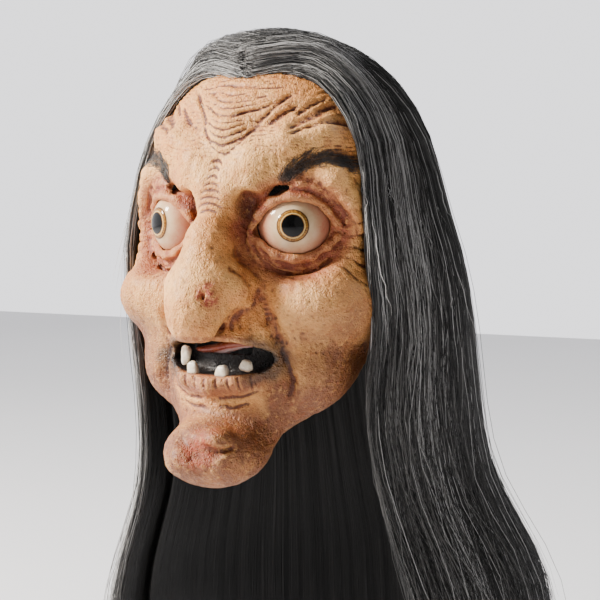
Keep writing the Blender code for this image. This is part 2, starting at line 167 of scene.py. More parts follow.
def sculptSkin():
    step = skin["step"]
    low, high = np.array(skin["low"]), np.array(skin["high"])
    axes = [np.arange(low[i], high[i], step) for i in range(3)]
    field = np.empty([len(a) for a in axes], np.float32)
    half, front, back = (levelCurve(axes[2], k)[None, None, :] for k in (1, 2, 3))
    x, y = axes[0][:, None, None], axes[1][None, :, None]
    ahead = np.maximum(-y - back, 0)
    reach = front - back
    far = np.sqrt((x / half) ** 2 + (ahead / reach) ** 2)
    slope = np.sqrt((x / half**2) ** 2 + (ahead / reach**2) ** 2)
    field[:] = far * (far - 1) / np.maximum(slope, 1e-4)

    def work(boxLow, boxHigh, change):
        cut = []
        for i in range(3):
            a = int(max(0, (boxLow[i] - low[i]) // step))
            b = int(min(len(axes[i]), (boxHigh[i] - low[i]) // step + 2))
            cut.append(slice(a, b))
        shapes = ((-1, 1, 1), (1, -1, 1), (1, 1, -1))
        p = [axes[i][cut[i]].reshape(shapes[i]) for i in range(3)]
        field[tuple(cut)] = change(field[tuple(cut)], p)

    def addEgg(centre, radii, soft):
        pad = soft + 4
        work([centre[i] - radii[i] - pad for i in range(3)],
             [centre[i] + radii[i] + pad for i in range(3)],
             lambda f, p: softUnion(f, egg(p, centre, radii), soft))

    def cutEgg(centre, radii, soft):
        pad = soft + 4
        work([centre[i] - radii[i] - pad for i in range(3)],
             [centre[i] + radii[i] + pad for i in range(3)],
             lambda f, p: softCut(f, egg(p, centre, radii), soft))

    def ropeBox(knots, soft):
        k = np.array(knots)
        pad = k[:, 3].max() + soft + 4
        return k[:, :3].min(0) - pad, k[:, :3].max(0) + pad

    def addRope(knots, soft):
        a, b = ropeBox(knots, soft)
        work(a, b, lambda f, p: softUnion(f, rope(p, knots), soft))

    def cutRope(knots, soft):
        a, b = ropeBox(knots, soft)
        work(a, b, lambda f, p: softCut(f, rope(p, knots), soft))

    def bothSides(knots):
        return [knots, [(-k[0],) + tuple(k[1:]) for k in knots]]

    # the jaw ends above the chin's underside
    field[:] = softCut(field, axes[2][None, None, :] + 240, 10)
    # chin knob, muzzle and cheeks
    addEgg((0, -92, -236.5), (31, 26, 20.5), 15)
    addEgg((0, -78, -165), (35, 17.5, 17), 14)
    addEgg((0, -78, -197), (30, 17, 13), 12)
    for side in (1, -1):
        addEgg((side * 53, -63, -146), (27, 25, 19.5), 18)
        addEgg((side * 64.5, -47, -149), (19, 24, 22), 16)
        addEgg((side * 50, -58, -188), (17, 17, 20), 16)
    # brows
    addEgg((0, -71, -62), (14, 14, 24), 12)
    for knots in bothSides([(8, -85, -82, 9.5), (19, -80, -77, 11), (36, -69, -73, 9.5),
                            (54, -59, -69, 8), (68, -47, -71, 6.5)]):
        addRope(knots, 10)
    for knots in bothSides([(10, -81, -73, 9.5), (20, -77, -65, 11), (36, -67.5, -56, 12.5),
                            (50, -54.5, -51.5, 13), (62, -42, -54, 10)]):
        addRope(knots, 7)
    # outer rim of the eye socket, from the brow to the cheek
    for knots in bothSides([(64, -62, -76, 6), (70, -55, -88, 6.5), (72.5, -51.5, -103, 6.5),
                            (69, -54, -118, 7), (60, -60, -130, 8)]):
        addRope(knots, 12)
    # eye dishes, flat across the gaze
    turn = math.radians(skin["eyeTurn"])

    def gaze(side, p):
        c = skin["eyeCentre"]
        dx, dy, dz = side * p[0] - c[0], p[1] - c[1], p[2] - c[2]
        ahead = dx * math.sin(turn) - dy * math.cos(turn)
        across = dx * math.cos(turn) + dy * math.sin(turn)
        return across, ahead, dz

    for side in (1, -1):
        def dish(f, p, side=side):
            across, ahead, dz = gaze(side, p)
            rim = (np.sqrt(((across - 1) / 30) ** 2 + ((dz + 3) / 26) ** 2) - 1) * 26
            return softCut(f, -softUnion(-rim, ahead - 9.5, 7), 7)
        work((0 if side > 0 else -82, -110, -135), (82 if side > 0 else 0, -30, -72), dish)
        cutEgg((side * 23, -95, -102), (12, 21, 15), 7)
        cutEgg((side * 19.5, -86, -91), (6.5, 9.5, 8.5), 5)
    # nose
    addRope([(0, -76, -80, 7), (0, -86, -96, 9.5), (0, -97, -112, 13.5), (0, -104, -132, 16)], 12)
    for side in (1, -1):
        addEgg((side * 9, -98, -138), (17, 18, 14), 10)
    addEgg((-1, -110, -150), (18, 18, 18.5), 9)
    addEgg((-1, -111, -161), (13.5, 12.5, 11), 6)
    for side in (1, -1):
        addEgg((side * 18.5, -95, -139), (10.5, 13, 10), 4)
        knots = [(20, -103, -127, 0.8), (26, -95, -131, 1.8),
                 (30, -90, -143, 2.4), (35, -86, -157, 2.8), (38.5, -83, -168, 2.6),
                 (42, -81, -180, 2.0), (45, -78, -193, 1.6), (44, -78, -204, 0.8)]
        cutRope([(side * k[0],) + k[1:] for k in knots], 6)
        cutEgg((side * 9.5, -103, -162), (4.6, 7, 5), 2)
        crease = [(22, -103, -125, 0.8), (27, -96, -133, 1.6), (27.5, -94, -143, 1.6),
                  (24, -96, -151, 1.3), (17, -100, -156, 0.8)]
        cutRope([(side * k[0],) + k[1:] for k in crease], 3.5)
    addEgg((11.5, -115.5, -142), (6.4, 5.4, 6.2), 1.6)
    addEgg((8.5, -119.0, -139.5), (2.8, 2.8, 2.6), 1.0)
    addEgg((14.5, -117.0, -143.5), (2.8, 3.0, 2.8), 1.0)
    addEgg((10, -119.5, -145.5), (2.4, 2.4, 2.2), 1.0)
    cutEgg((11.5, -121.5, -142), (1.2, 2.4, 2.8), 0.8)
    addEgg((-73, -50, -135), (4.2, 4.6, 4.4), 1.6)
    # folds and pits of the chin
    addEgg((13, -109, -226), (8, 8, 6), 6)
    addEgg((-9, -111, -240), (10, 9, 8), 7)
    cutRope([(-20, -108, -217, 1.0), (-8, -115.5, -225, 2.6), (3, -118.5, -233, 3.2),
             (12, -116, -239, 1.4)], 5)
    cutRope([(5, -118.5, -229, 1.8), (14, -114, -233, 1.6), (21, -107, -231, 0.8)], 4)
    for pit in ((4, -115.5, -221.5), (9, -113.5, -219), (-2, -115, -219.5), (1, -118.5, -237)):
        cutEgg(pit, (1.6, 2.6, 1.6), 1.2)
    # lips and the open mouth
    addRope([(-33, -82, -175, 3), (-20, -92, -168.5, 4), (0, -96.5, -169, 4.4),
             (20, -91.5, -168.5, 4), (33, -80, -175, 3)], 5)
    addRope([(-32, -82, -183, 3.5), (-17, -93.5, -192, 5.5), (0, -96.5, -195, 6),
             (17, -92.5, -192, 5.5), (32, -80, -182, 3.5)], 5)

    def openMouth(f, p):
        mx, mz = skin["mouthCentre"]
        hx, hz = skin["mouthHalf"]
        q = (np.abs((p[0] - mx) / hx) ** 2.3 + np.abs((p[2] - mz + 0.02 * p[0]) / hz) ** 2.3) ** (1 / 2.3)
        lens = (q - 1) * hz
        floor = p[1] - (skin["mouthFloor"] + 17 * (p[0] / hx) ** 2)
        return softCut(f, -softUnion(-lens, -floor, 4), 2.5)

    work((-44, -125, -197), (44, -50, -163), openMouth)

    # lids: a shell over the eyeball above and below, with ridges and folds laid on it
    def lid(side, margin, thick, soft, above):
        def change(f, p):
            across, ahead, dz = gaze(side, p)
            r = np.sqrt(across**2 + ahead**2 + dz**2)
            shell = np.abs(r - skin["eyeBall"] - thick / 2 + 1.0) - thick / 2 - 1.0
            b = math.radians(margin)
            gap = ahead * math.sin(b) - dz * above * math.cos(b)
            return softUnion(f, -softUnion(-shell, -gap, 1.5), soft)
        c = skin["eyeCentre"]
        centre = (side * c[0], c[1], c[2])
        work([v - 30 for v in centre], [v + 30 for v in centre], change)

    def lidKnots(side, knots):
        c = skin["eyeCentre"]
        placed = []
        for across, rise, ahead, radius in knots:
            dx = across * math.cos(turn) + ahead * math.sin(turn)
            dy = across * math.sin(turn) - ahead * math.cos(turn)
            placed.append((side * (c[0] + dx), c[1] + dy, c[2] + rise, radius))
        return placed

    for side in (1, -1):
        cutRope(lidKnots(side, skin["browRecess"]), 3)
        lid(side, 38, 4.2, 2.0, 1)
        lid(side, 50, 4.2, 2.0, -1)
        for knots in skin["lidRidges"]:
            addRope(lidKnots(side, knots), 1.3)
        for knots in skin["lidFolds"]:
            cutRope(lidKnots(side, knots), 1.2)

    # even out the slope, so that the wall has one thickness
    gx, gy, gz = np.gradient(field, step)
    slope = np.sqrt(gx * gx + gy * gy + gz * gz)
    field /= np.clip(slope, 0.6, 2.5)
    shell = np.maximum(field, -(field + skin["wall"]))

    def trim(boxLow, boxHigh, change):
        nonlocal field
        keep, field = field, shell
        work(boxLow, boxHigh, change)
        field = keep

    # back edge, open eyes, sight slots and the breathing slot
    shell[:] = np.maximum(shell, y + back)
    for side in (1, -1):
        c = (side * skin["eyeCentre"][0], skin["eyeCentre"][1], skin["eyeCentre"][2])
        r = skin["eyeBall"] + 0.35
        trim([v - r - 3 for v in c], [v + r + 3 for v in c],
             lambda f, p, c=c, r=r: softCut(f, egg(p, c, (r, r, r)), 0.8))

        def slot(f, p, side=side):
            across, ahead, dz = gaze(side, p)
            hole = rope([across, ahead * 0, dz], skin["sightSlot"])
            return softCut(f, np.maximum(hole, 2 - ahead), 0.8)
        trim((-60 if side < 0 else 10, -110, -92), (-10 if side < 0 else 60, -50, -74), slot)

    def breath(f, p):
        hole = np.maximum(np.abs(p[0] + 4) - 20, np.abs(p[2] + 175.5) - 3)
        hole = np.maximum(hole, np.abs(p[1] + 78) - 14)
        return softCut(f, hole, 1.5)
    trim((-30, -96, -185), (24, -60, -167), breath)
    return shell, field, low, step


def netSurface(field, low, step):
    inside = field < 0
    total = np.zeros([n - 1 for n in field.shape], np.int8)
    corners = [(a, b, c) for a in (0, 1) for b in (0, 1) for c in (0, 1)]
    n = [s - 1 for s in field.shape]
    for a, b, c in corners:
        total += inside[a:a + n[0], b:b + n[1], c:c + n[2]]
    mixed = (total > 0) & (total < 8)
    cells = np.argwhere(mixed)
    ids = np.full(total.shape, -1, np.int64)
    ids[mixed] = np.arange(len(cells))
    points = np.zeros((len(cells), 3))
    hits = np.zeros(len(cells))
    for axis in range(3):
        for a in (0, 1):
            for b in (0, 1):
                shift = np.zeros(3, np.int64)
                shift[(axis + 1) % 3], shift[(axis + 2) % 3] = a, b
                start = cells + shift
                end = start.copy()
                end[:, axis] += 1
                f0, f1 = field[tuple(start.T)], field[tuple(end.T)]
                cross = (f0 < 0) != (f1 < 0)
                t = f0[cross] / (f0[cross] - f1[cross])
                spot = np.tile(shift.astype(float), (cross.sum(), 1))
                spot[:, axis] += t
                points[cross] += spot
                hits[cross] += 1
    points = low + (cells + points / hits[:, None]) * step
    quads = []
    for axis in range(3):
        u, v = (axis + 1) % 3, (axis + 2) % 3
        first = [slice(1, -1)] * 3
        first[axis] = slice(0, -1)
        second = list(first)
        second[axis] = slice(1, None)
        a, b = inside[tuple(first)], inside[tuple(second)]
        for flip in (False, True):
            edges = np.argwhere((a & ~b) if not flip else (~a & b))
            offset = np.ones(3, np.int64)
            offset[axis] = 0
            edges = edges + offset
            ring = []
            for du, dv in ((0, 0), (-1, 0), (-1, -1), (0, -1)):
                cell = edges.copy()
                cell[:, u] += du
                cell[:, v] += dv
                ring.append(ids[tuple(cell.T)])
            quad = np.stack(ring if not flip else ring[::-1], 1)
            quads.append(quad)
    return points, np.concatenate(quads)


def largestPiece(points, quads):
    label = np.arange(len(points))
    edges = np.concatenate([quads[:, [0, 1]], quads[:, [1, 2]], quads[:, [2, 3]]])
    for _ in range(400):
        low = np.minimum(label[edges[:, 0]], label[edges[:, 1]])
        before = label.copy()
        np.minimum.at(label, edges[:, 0], low)
        np.minimum.at(label, edges[:, 1], low)
        label = label[label]
        if (label == before).all():
            break
    names, counts = np.unique(label, return_counts=True)
    keep = label == names[counts.argmax()]
    index = np.cumsum(keep) - 1
    return points[keep], index[quads[keep[quads].all(1)]]


def edgesOf(quads):
    pairs = np.concatenate([quads[:, [i, (i + 1) % 4]] for i in range(4)])
    return np.unique(np.sort(pairs, axis=1), axis=0)


def relaxed(points, edges, rounds, share=0.5):
    count = np.bincount(edges.ravel(), minlength=len(points))[:, None]
    for _ in range(rounds):
        total = np.zeros_like(points)
        for i in range(3):
            total[:, i] = np.bincount(edges[:, 0], points[edges[:, 1], i], len(points))
            total[:, i] += np.bincount(edges[:, 1], points[edges[:, 0], i], len(points))
        points = points + (total / count - points) * share
    return points


def normalsOf(points, quads):
    cross = np.cross(points[quads[:, 2]] - points[quads[:, 0]], points[quads[:, 3]] - points[quads[:, 1]])
    normals = np.zeros_like(points)
    for k in range(4):
        for i in range(3):
            normals[:, i] += np.bincount(quads[:, k], cross[:, i], len(points))
    return normals / np.maximum(np.linalg.norm(normals, axis=1, keepdims=True), 1e-9)


def meshPiece(name, points, faces, smooth=True):
    mesh = bpy.data.meshes.new(name)
    sides = faces.shape[1]
    mesh.vertices.add(len(points))
    mesh.vertices.foreach_set("co", np.asarray(points, np.float32).ravel())
    mesh.loops.add(faces.size)
    mesh.loops.foreach_set("vertex_index", faces.ravel().astype(np.int32))
    mesh.polygons.add(len(faces))
    mesh.polygons.foreach_set("loop_start", np.arange(len(faces), dtype=np.int32) * sides)
    mesh.update(calc_edges=True)
    if smooth:
        mesh.shade_smooth()
    piece = bpy.data.objects.new(name, mesh)
    bpy.context.scene.collection.objects.link(piece)
    return piece


def paintAttribute(piece, name, values):
    layer = piece.data.attributes.new(name, "FLOAT", "POINT")
    layer.data.foreach_set("value", np.asarray(values, np.float32))


def skinPlace(points):
    # distance round the face from its middle, and height
    return np.arctan2(points[:, 0], -(points[:, 1] + 15)) * 75, points[:, 2]


def lineDepth(s, z, knots, width):
    # 1 on a given line, falling to 0 beside it and at its ends
    found = np.zeros(len(s))
    last = len(knots) - 1
    for k in range(last):
        (s0, z0), (s1, z1) = knots[k], knots[k + 1]
        ds, dz = s1 - s0, z1 - z0
        t = np.clip(((s - s0) * ds + (z - z0) * dz) / (ds * ds + dz * dz), 0, 1)
        gap = np.hypot(s - s0 - ds * t, z - z0 - dz * t)
        place = (k + t) / last
        fade = smoothStep(0, 0.18, place) * smoothStep(1, 0.82, place)
        found = np.maximum(found, np.exp(-((gap / width) ** 2)) * fade)
    return found


wrinkles = {
    # forehead lines: height in the middle, rise at the ends, half length, width, depth
    "forehead": ((-16, -4, 40, 1.1, 0.8), (-20, -3, 50, 1.3, 1.2), (-24.5, -1, 36, 1.2, 1.1),
                 (-28.5, 3, 30, 1.4, 1.4), (-32.5, 8, 46, 1.3, 1.2), (-37.5, 14, 52, 1.7, 1.9),
                 (-42, 17, 48, 1.3, 1.2), (-46.5, 19, 42, 1.5, 1.5), (-51, 18, 34, 1.6, 1.7),
                 (-56, 15, 26, 1.7, 1.9), (-60.5, 9, 15, 1.2, 1.2)),
    "root": ((-64.5, 5), (-69, 4.5), (-73.5, 4.5), (-78, 6), (-82, 8), (-86, 9), (-90, 9), (-94, 8)),
    # lines on one side of the face, mirrored to the other: width, depth, places
    "sides": (
        (1.5, 1.5, ((30, -45), (37, -40.5), (47, -35.5), (54, -33))),
        (2.0, 2.0, ((42, -47), (52, -42.5), (62, -38.5), (73, -35), (84, -33))),
        (1.9, 1.8, ((42, -50), (54, -45.5), (66, -42), (78, -42.5), (92, -47))),
        (1.4, 1.2, ((50, -38.5), (62, -33), (76, -29.5))),
        (1.5, 1.3, ((66, -84), (74, -92), (79, -102), (81, -112))),
        (1.2, 1.0, ((74, -104), (84, -101), (94, -96))),
        (1.2, 1.0, ((74, -109), (86, -109), (97, -107))),
        (1.2, 1.1, ((73, -114), (85, -117), (97, -118))),
        (1.2, 1.0, ((71, -119), (82, -125), (93, -129))),
        (1.1, 0.8, ((67, -123), (77, -132), (86, -139))),
        (1.4, 1.2, ((18, -110), (26, -120), (38, -127), (54, -129), (66, -124))),
        (1.3, 1.0, ((24, -119), (34, -127), (48, -133), (62, -131))),
        (1.6, 1.3, ((40, -172), (44, -182), (47, -194), (45, -206))),
        (1.4, 1.2, ((4, -204), (18, -203), (30, -198))),
        (1.2, 0.9, ((3, -209), (14, -209), (24, -206))),
        (1.2, 1.2, ((14, -97), (22, -100), (30, -106))),
        (1.1, 1.0, ((13, -102), (20, -106), (27, -113))),
    ),
}


def wrinkleDepth(points):
    s, z = skinPlace(points)
    p = [points[:, i] for i in range(3)]
    bend = valueNoise(p, 17, 11) * 2.2 + valueNoise(p, 7, 12) * 0.8
    depth = np.zeros(len(points))
    for level, rise, reach, width, deep in wrinkles["forehead"]:
        share = np.abs(s - 4 * smoothStep(-25, -45, level)) / reach
        line = level + rise * share**1.6
        fade = smoothStep(1.05, 0.7, share) * (0.75 + 0.25 * valueNoise(p, 13, int(-level)))
        gap = (z - line - bend) / width
        depth += 1.2 * deep * fade * (np.exp(-(gap**2)) - 0.35 * np.exp(-((np.abs(gap) - 2) ** 2)))
    for level, reach in wrinkles["root"]:
        line = level - 3.0 * (s / reach) ** 2 + bend * 0.75
        fade = smoothStep(1.1, 0.4, np.abs(s) / reach)
        deep = 1.0 + 0.5 * valueNoise(p, 9, int(-level))
        depth = np.maximum(depth, deep * fade * np.exp(-(((z - line) / 1.15) ** 2)))
    shift = bend * 0.5
    for side in (1, -1):
        for width, deep, knots in wrinkles["sides"]:
            depth = np.maximum(depth, deep * lineDepth(side * s + shift, z + bend * 0.6, knots, width))
    return depth


def fineCreases(points):
    # close wavy creases that follow the big ones, strongest where the skin folds most
    s, z = skinPlace(points)
    p = [points[:, i] for i in range(3)]
    sway = valueNoise(p, 14, 3) * 3 + valueNoise(p, 5, 4)
    brow = smoothStep(-66, -58, z) * smoothStep(-8, -16, z)
    level = np.abs(np.sin((z + sway) * 1.15)) * brow * 0.5
    out = np.hypot(np.abs(s) - 46, z + 104)
    angle = np.arctan2(z + 104, np.abs(s) - 46)
    rays = np.abs(np.sin(angle * 17 + sway * 0.25)) * smoothStep(24, 30, out) * smoothStep(52, 38, out)
    rays = rays * smoothStep(-0.6, 0.2, np.cos(angle)) * 0.55
    lipUp = smoothStep(-150, -158, z) * smoothStep(-170, -166, z) * smoothStep(44, 30, np.abs(s))
    lines = np.abs(np.sin(s * 0.62 + sway * 0.5)) * lipUp * 0.5
    lipLow = smoothStep(-185, -189, z) * smoothStep(-200, -196, z) * smoothStep(30, 20, np.abs(s))
    cracks = (0.5 + 0.5 * np.cos(s * 1.05 + sway * 0.6)) ** 8 * lipLow * 1.3
    grain = np.abs(valueNoise(p, 5.2, 6)) * 0.60 + np.abs(valueNoise(p, 2.8, 7)) * 0.48
    return 0.35 - level + 0.3 * brow - rays - lines - cracks - grain


def hollowness(points, quads, edges, rounds, share=0.5):
    # positive where the surface folds in, negative where it stands out
    normals = normalsOf(points, quads)
    soft = relaxed(points, edges, rounds, share)
    return ((soft - points) * normals).sum(1)


field, solid, low, step = sculptSkin()
print("skin sculpted")
points, quads = largestPiece(*netSurface(field, low, step))
edges = edgesOf(quads)
points = relaxed(points, edges, 3, 0.45)
normals = normalsOf(points, quads)
outward = points - np.array(skin["middle"])
outer = smoothStep(-0.1, 0.25, (normals * outward).sum(1) / np.linalg.norm(outward, axis=1))
eyeGap = np.minimum(*[np.linalg.norm(points - np.array(skin["eyeCentre"]) * (side, 1, 1), axis=1)
                      for side in (1, -1)]) - skin["eyeBall"]
calm = outer * smoothStep(1.5, 9.0, eyeGap)
spots = np.clip(np.round((points - low) / step).astype(int), 0, np.array(solid.shape) - 1)
innerWall = smoothStep(-0.9, -1.9, solid[spots[:, 0], spots[:, 1], spots[:, 2]])
innerWall = innerWall * smoothStep(1.0, 3.0, eyeGap)
inMouth = (np.abs(points[:, 0]) < 36) * (np.abs(points[:, 2] + 180) < 12)
calm = calm * (1 - smoothStep(3.0, 8.0, points[:, 1] + 92) * inMouth)
lines = wrinkleDepth(points)
points = points - normals * ((lines - fineCreases(points) * 0.8) * calm)[:, None]
print("skin surface:", len(points), "points", len(quads), "faces")
face = meshPiece("latex_skin", points * mm, quads)
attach(face, maskBody)
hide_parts("latex_face")


def eyeFrame(side, points):
    # across the gaze, up, and ahead, all from the eye's centre
    t = math.radians(skin["eyeTurn"])
    c = skin["eyeCentre"]
    dx, dy, dz = side * points[:, 0] - c[0], points[:, 1] - c[1], points[:, 2] - c[2]
    return dx * math.cos(t) + dy * math.sin(t), dz, dx * math.sin(t) - dy * math.cos(t)


def paintSkin(piece, points, quads, edges, lines):
    fine, wide, basin = [hollowness(points, quads, edges, rounds) for rounds in (5, 60, 260)]
    p = [points[:, i] for i in range(3)]
    s, z = skinPlace(points)
    # reddish paint round each eye, carried up under the brow and into the inner corner as painted shade
    socketRedAndShade = np.zeros(len(points))
    for side in (1, -1):
        across, rise, ahead = eyeFrame(side, points)
        far = np.hypot((across - 2) / 37, np.where(rise > 0, rise / 32, rise / 37))
        socketRedAndShade = np.maximum(socketRedAndShade, smoothStep(1.12, 0.72, far) * smoothStep(-12, -4, ahead))
        corner = np.hypot(across + 29, rise + 3) / 9
        socketRedAndShade = np.maximum(socketRedAndShade, smoothStep(1.5, 0.5, corner) * smoothStep(-12, -4, ahead))
    mouthFar = np.hypot((p[0] + 0.5) / 37, (z + 181) / 13.5)
    black = smoothStep(1.18, 0.92, mouthFar + 0.06 * valueNoise(p, 4, 21))
    black = black * smoothStep(-97, -92, p[1] - 0.005 * p[0] ** 2)
    black = np.maximum(black, smoothStep(0.9, 0.8, mouthFar) * smoothStep(-100, -91, p[1]))
    # a darker band round the mouth, towards its corners
    mouthRimDark = smoothStep(1.5, 1.08, mouthFar + 0.14 * valueNoise(p, 5, 23)) * smoothStep(14, 30, np.abs(p[0]))
    black = np.maximum(black, 0.75 * mouthRimDark * (p[1] < -66))
    lip = smoothStep(12, 6, np.abs(z + 195 - 0.006 * p[0] ** 2)) * smoothStep(37, 24, np.abs(p[0]))
    upper = smoothStep(4.5, 2.5, np.abs(z + 169 + 0.004 * p[0] ** 2)) * smoothStep(36, 26, np.abs(p[0]))
    lip = np.maximum(lip, upper * 0.8)
    lip = lip * (p[1] < -70)
    brow = np.zeros(len(points))
    for side in (1, -1):
        line = lineDepth(side * s, z, skin["browLine"], 4.8)
        brow = np.maximum(brow, line)
    red = np.zeros(len(points))
    for spot, size, strength in skin["redSpots"]:
        gap = np.sqrt(sum((p[i] - spot[i]) ** 2 for i in range(3))) + valueNoise(p, 3, 9) * 1.2
        red = np.maximum(red, strength * smoothStep(size * 1.25, size * 0.6, gap))
    # painted shade where the inner corner of an eye meets the nose
    corner = np.sqrt(((np.abs(p[0]) - 17.5) / 8) ** 2 + ((p[1] + 82) / 12) ** 2 + ((p[2] + 93) / 11) ** 2)
    corner = smoothStep(1.25, 0.35, corner)
    # painted shade where the light falls away: lower cheek, chin, jaw, temple and hairline
    edge = smoothStep(24, 66, np.abs(s)) * smoothStep(-118, -180, z) * 1.25
    edge = np.maximum(edge, smoothStep(-200, -222, z) * 1.3)
    edge = np.maximum(edge, smoothStep(24, 40, np.abs(s)) * smoothStep(-176, -204, z) * 1.6)
    edge = np.maximum(edge, smoothStep(66, 84, np.abs(s)) * smoothStep(-60, -48, z) * 0.6)
    edge = np.maximum(edge, smoothStep(-24, -8, z) * 0.55)
    for name, values in (("edgeShade", edge), ("innerWall", innerWall), ("cornerDark", corner),
                         ("basin", basin), ("fold", fine), ("hollow", wide), ("socketRedAndShade", socketRedAndShade),
                         ("mouthBlack", black), ("lipRed", lip), ("browPaint", brow),
                         ("redSpot", red), ("wrinkleShade", lines)):
        paintAttribute(piece, name, values)


paintSkin(face, points, quads, edges, lines)


class Paint:
    # builds one node material

    def __init__(self, name):
        self.material = bpy.data.materials.new(name)
        self.material.use_nodes = True
        self.tree = self.material.node_tree
        self.shader = self.tree.nodes["Principled BSDF"]
        self.place = self.tree.nodes.new("ShaderNodeTexCoord").outputs["Object"]

    def link(self, value, socket):
        if isinstance(value, bpy.types.NodeSocket):
            self.tree.links.new(value, socket)
        elif isinstance(value, tuple) and len(value) == 3 and socket.type == "RGBA":
            socket.default_value = (*value, 1)
        else:
            socket.default_value = value

    def stretched(self, factors):
        node = self.tree.nodes.new("ShaderNodeMapping")
        self.link(self.place, node.inputs["Vector"])
        node.inputs["Scale"].default_value = factors
        return node.outputs["Vector"]

    def noise(self, scale, detail=3.0, rough=0.55, place=None, bend=0.0):
        node = self.tree.nodes.new("ShaderNodeTexNoise")
        self.link(place or self.place, node.inputs["Vector"])
        node.inputs["Scale"].default_value = scale
        node.inputs["Detail"].default_value = detail
        node.inputs["Roughness"].default_value = rough
        node.inputs["Distortion"].default_value = bend
        return node.outputs["Fac"]

    def cells(self, scale, kind="F1"):
        node = self.tree.nodes.new("ShaderNodeTexVoronoi")
        node.feature = kind
        self.link(self.place, node.inputs["Vector"])
        node.inputs["Scale"].default_value = scale
        return node.outputs["Distance"]

    def reading(self, name):
        node = self.tree.nodes.new("ShaderNodeAttribute")
        node.attribute_name = name
        return node.outputs["Fac"]

    def span(self, value, low, high, start=0.0, end=1.0):
        node = self.tree.nodes.new("ShaderNodeMapRange")
        node.interpolation_type = "SMOOTHSTEP"
        self.link(value, node.inputs["Value"])
        for name, number in (("From Min", low), ("From Max", high), ("To Min", start), ("To Max", end)):
            node.inputs[name].default_value = number
        return node.outputs["Result"]

    def sum(self, kind, a, b):
        node = self.tree.nodes.new("ShaderNodeMath")
        node.operation = kind
        self.link(a, node.inputs[0])
        self.link(b, node.inputs[1])
        return node.outputs["Value"]

    def blend(self, share, a, b):
        node = self.tree.nodes.new("ShaderNodeMix")
        node.data_type = "RGBA"
        self.link(share, node.inputs[0])
        self.link(a, node.inputs[6])
        self.link(b, node.inputs[7])
        return node.outputs[2]

    def bump(self, height, distance, strength=1.0):
        node = self.tree.nodes.new("ShaderNodeBump")
        self.link(height, node.inputs["Height"])
        node.inputs["Distance"].default_value = distance
        node.inputs["Strength"].default_value = strength
        return node.outputs["Normal"]

    def finish(self, colour=None, rough=None, normal=None, **fixed):
        for name, value in (("Base Color", colour), ("Roughness", rough), ("Normal", normal)):
            if value is not None:
                self.link(value, self.shader.inputs[name])
        for name, value in fixed.items():
            self.shader.inputs[name.replace("_", " ")].default_value = value
        return self.material


latexPaint = {
    # shade, edge, crease, redCrease, corner and eyeRim also serve as painted shade; pale also as painted
    # highlight
    "tan": (0.68, 0.275, 0.066),
    "pale": (0.86, 0.44, 0.135),
    "shade": (0.33, 0.085, 0.022),
    "edge": (0.20, 0.062, 0.016),
    "redCrease": (0.135, 0.026, 0.011),
    "crease": (0.085, 0.017, 0.006),
    "eyeRim": (0.33, 0.078, 0.034),
    "lip": (0.27, 0.078, 0.035),
    "corner": (0.10, 0.022, 0.010),
    "black": (0.012, 0.008, 0.007),
    "brow": (0.010, 0.007, 0.006),
    "scab": (0.32, 0.050, 0.016),
    "inside": (0.62, 0.40, 0.22),
    "insideShade": (0.50, 0.29, 0.14),
}


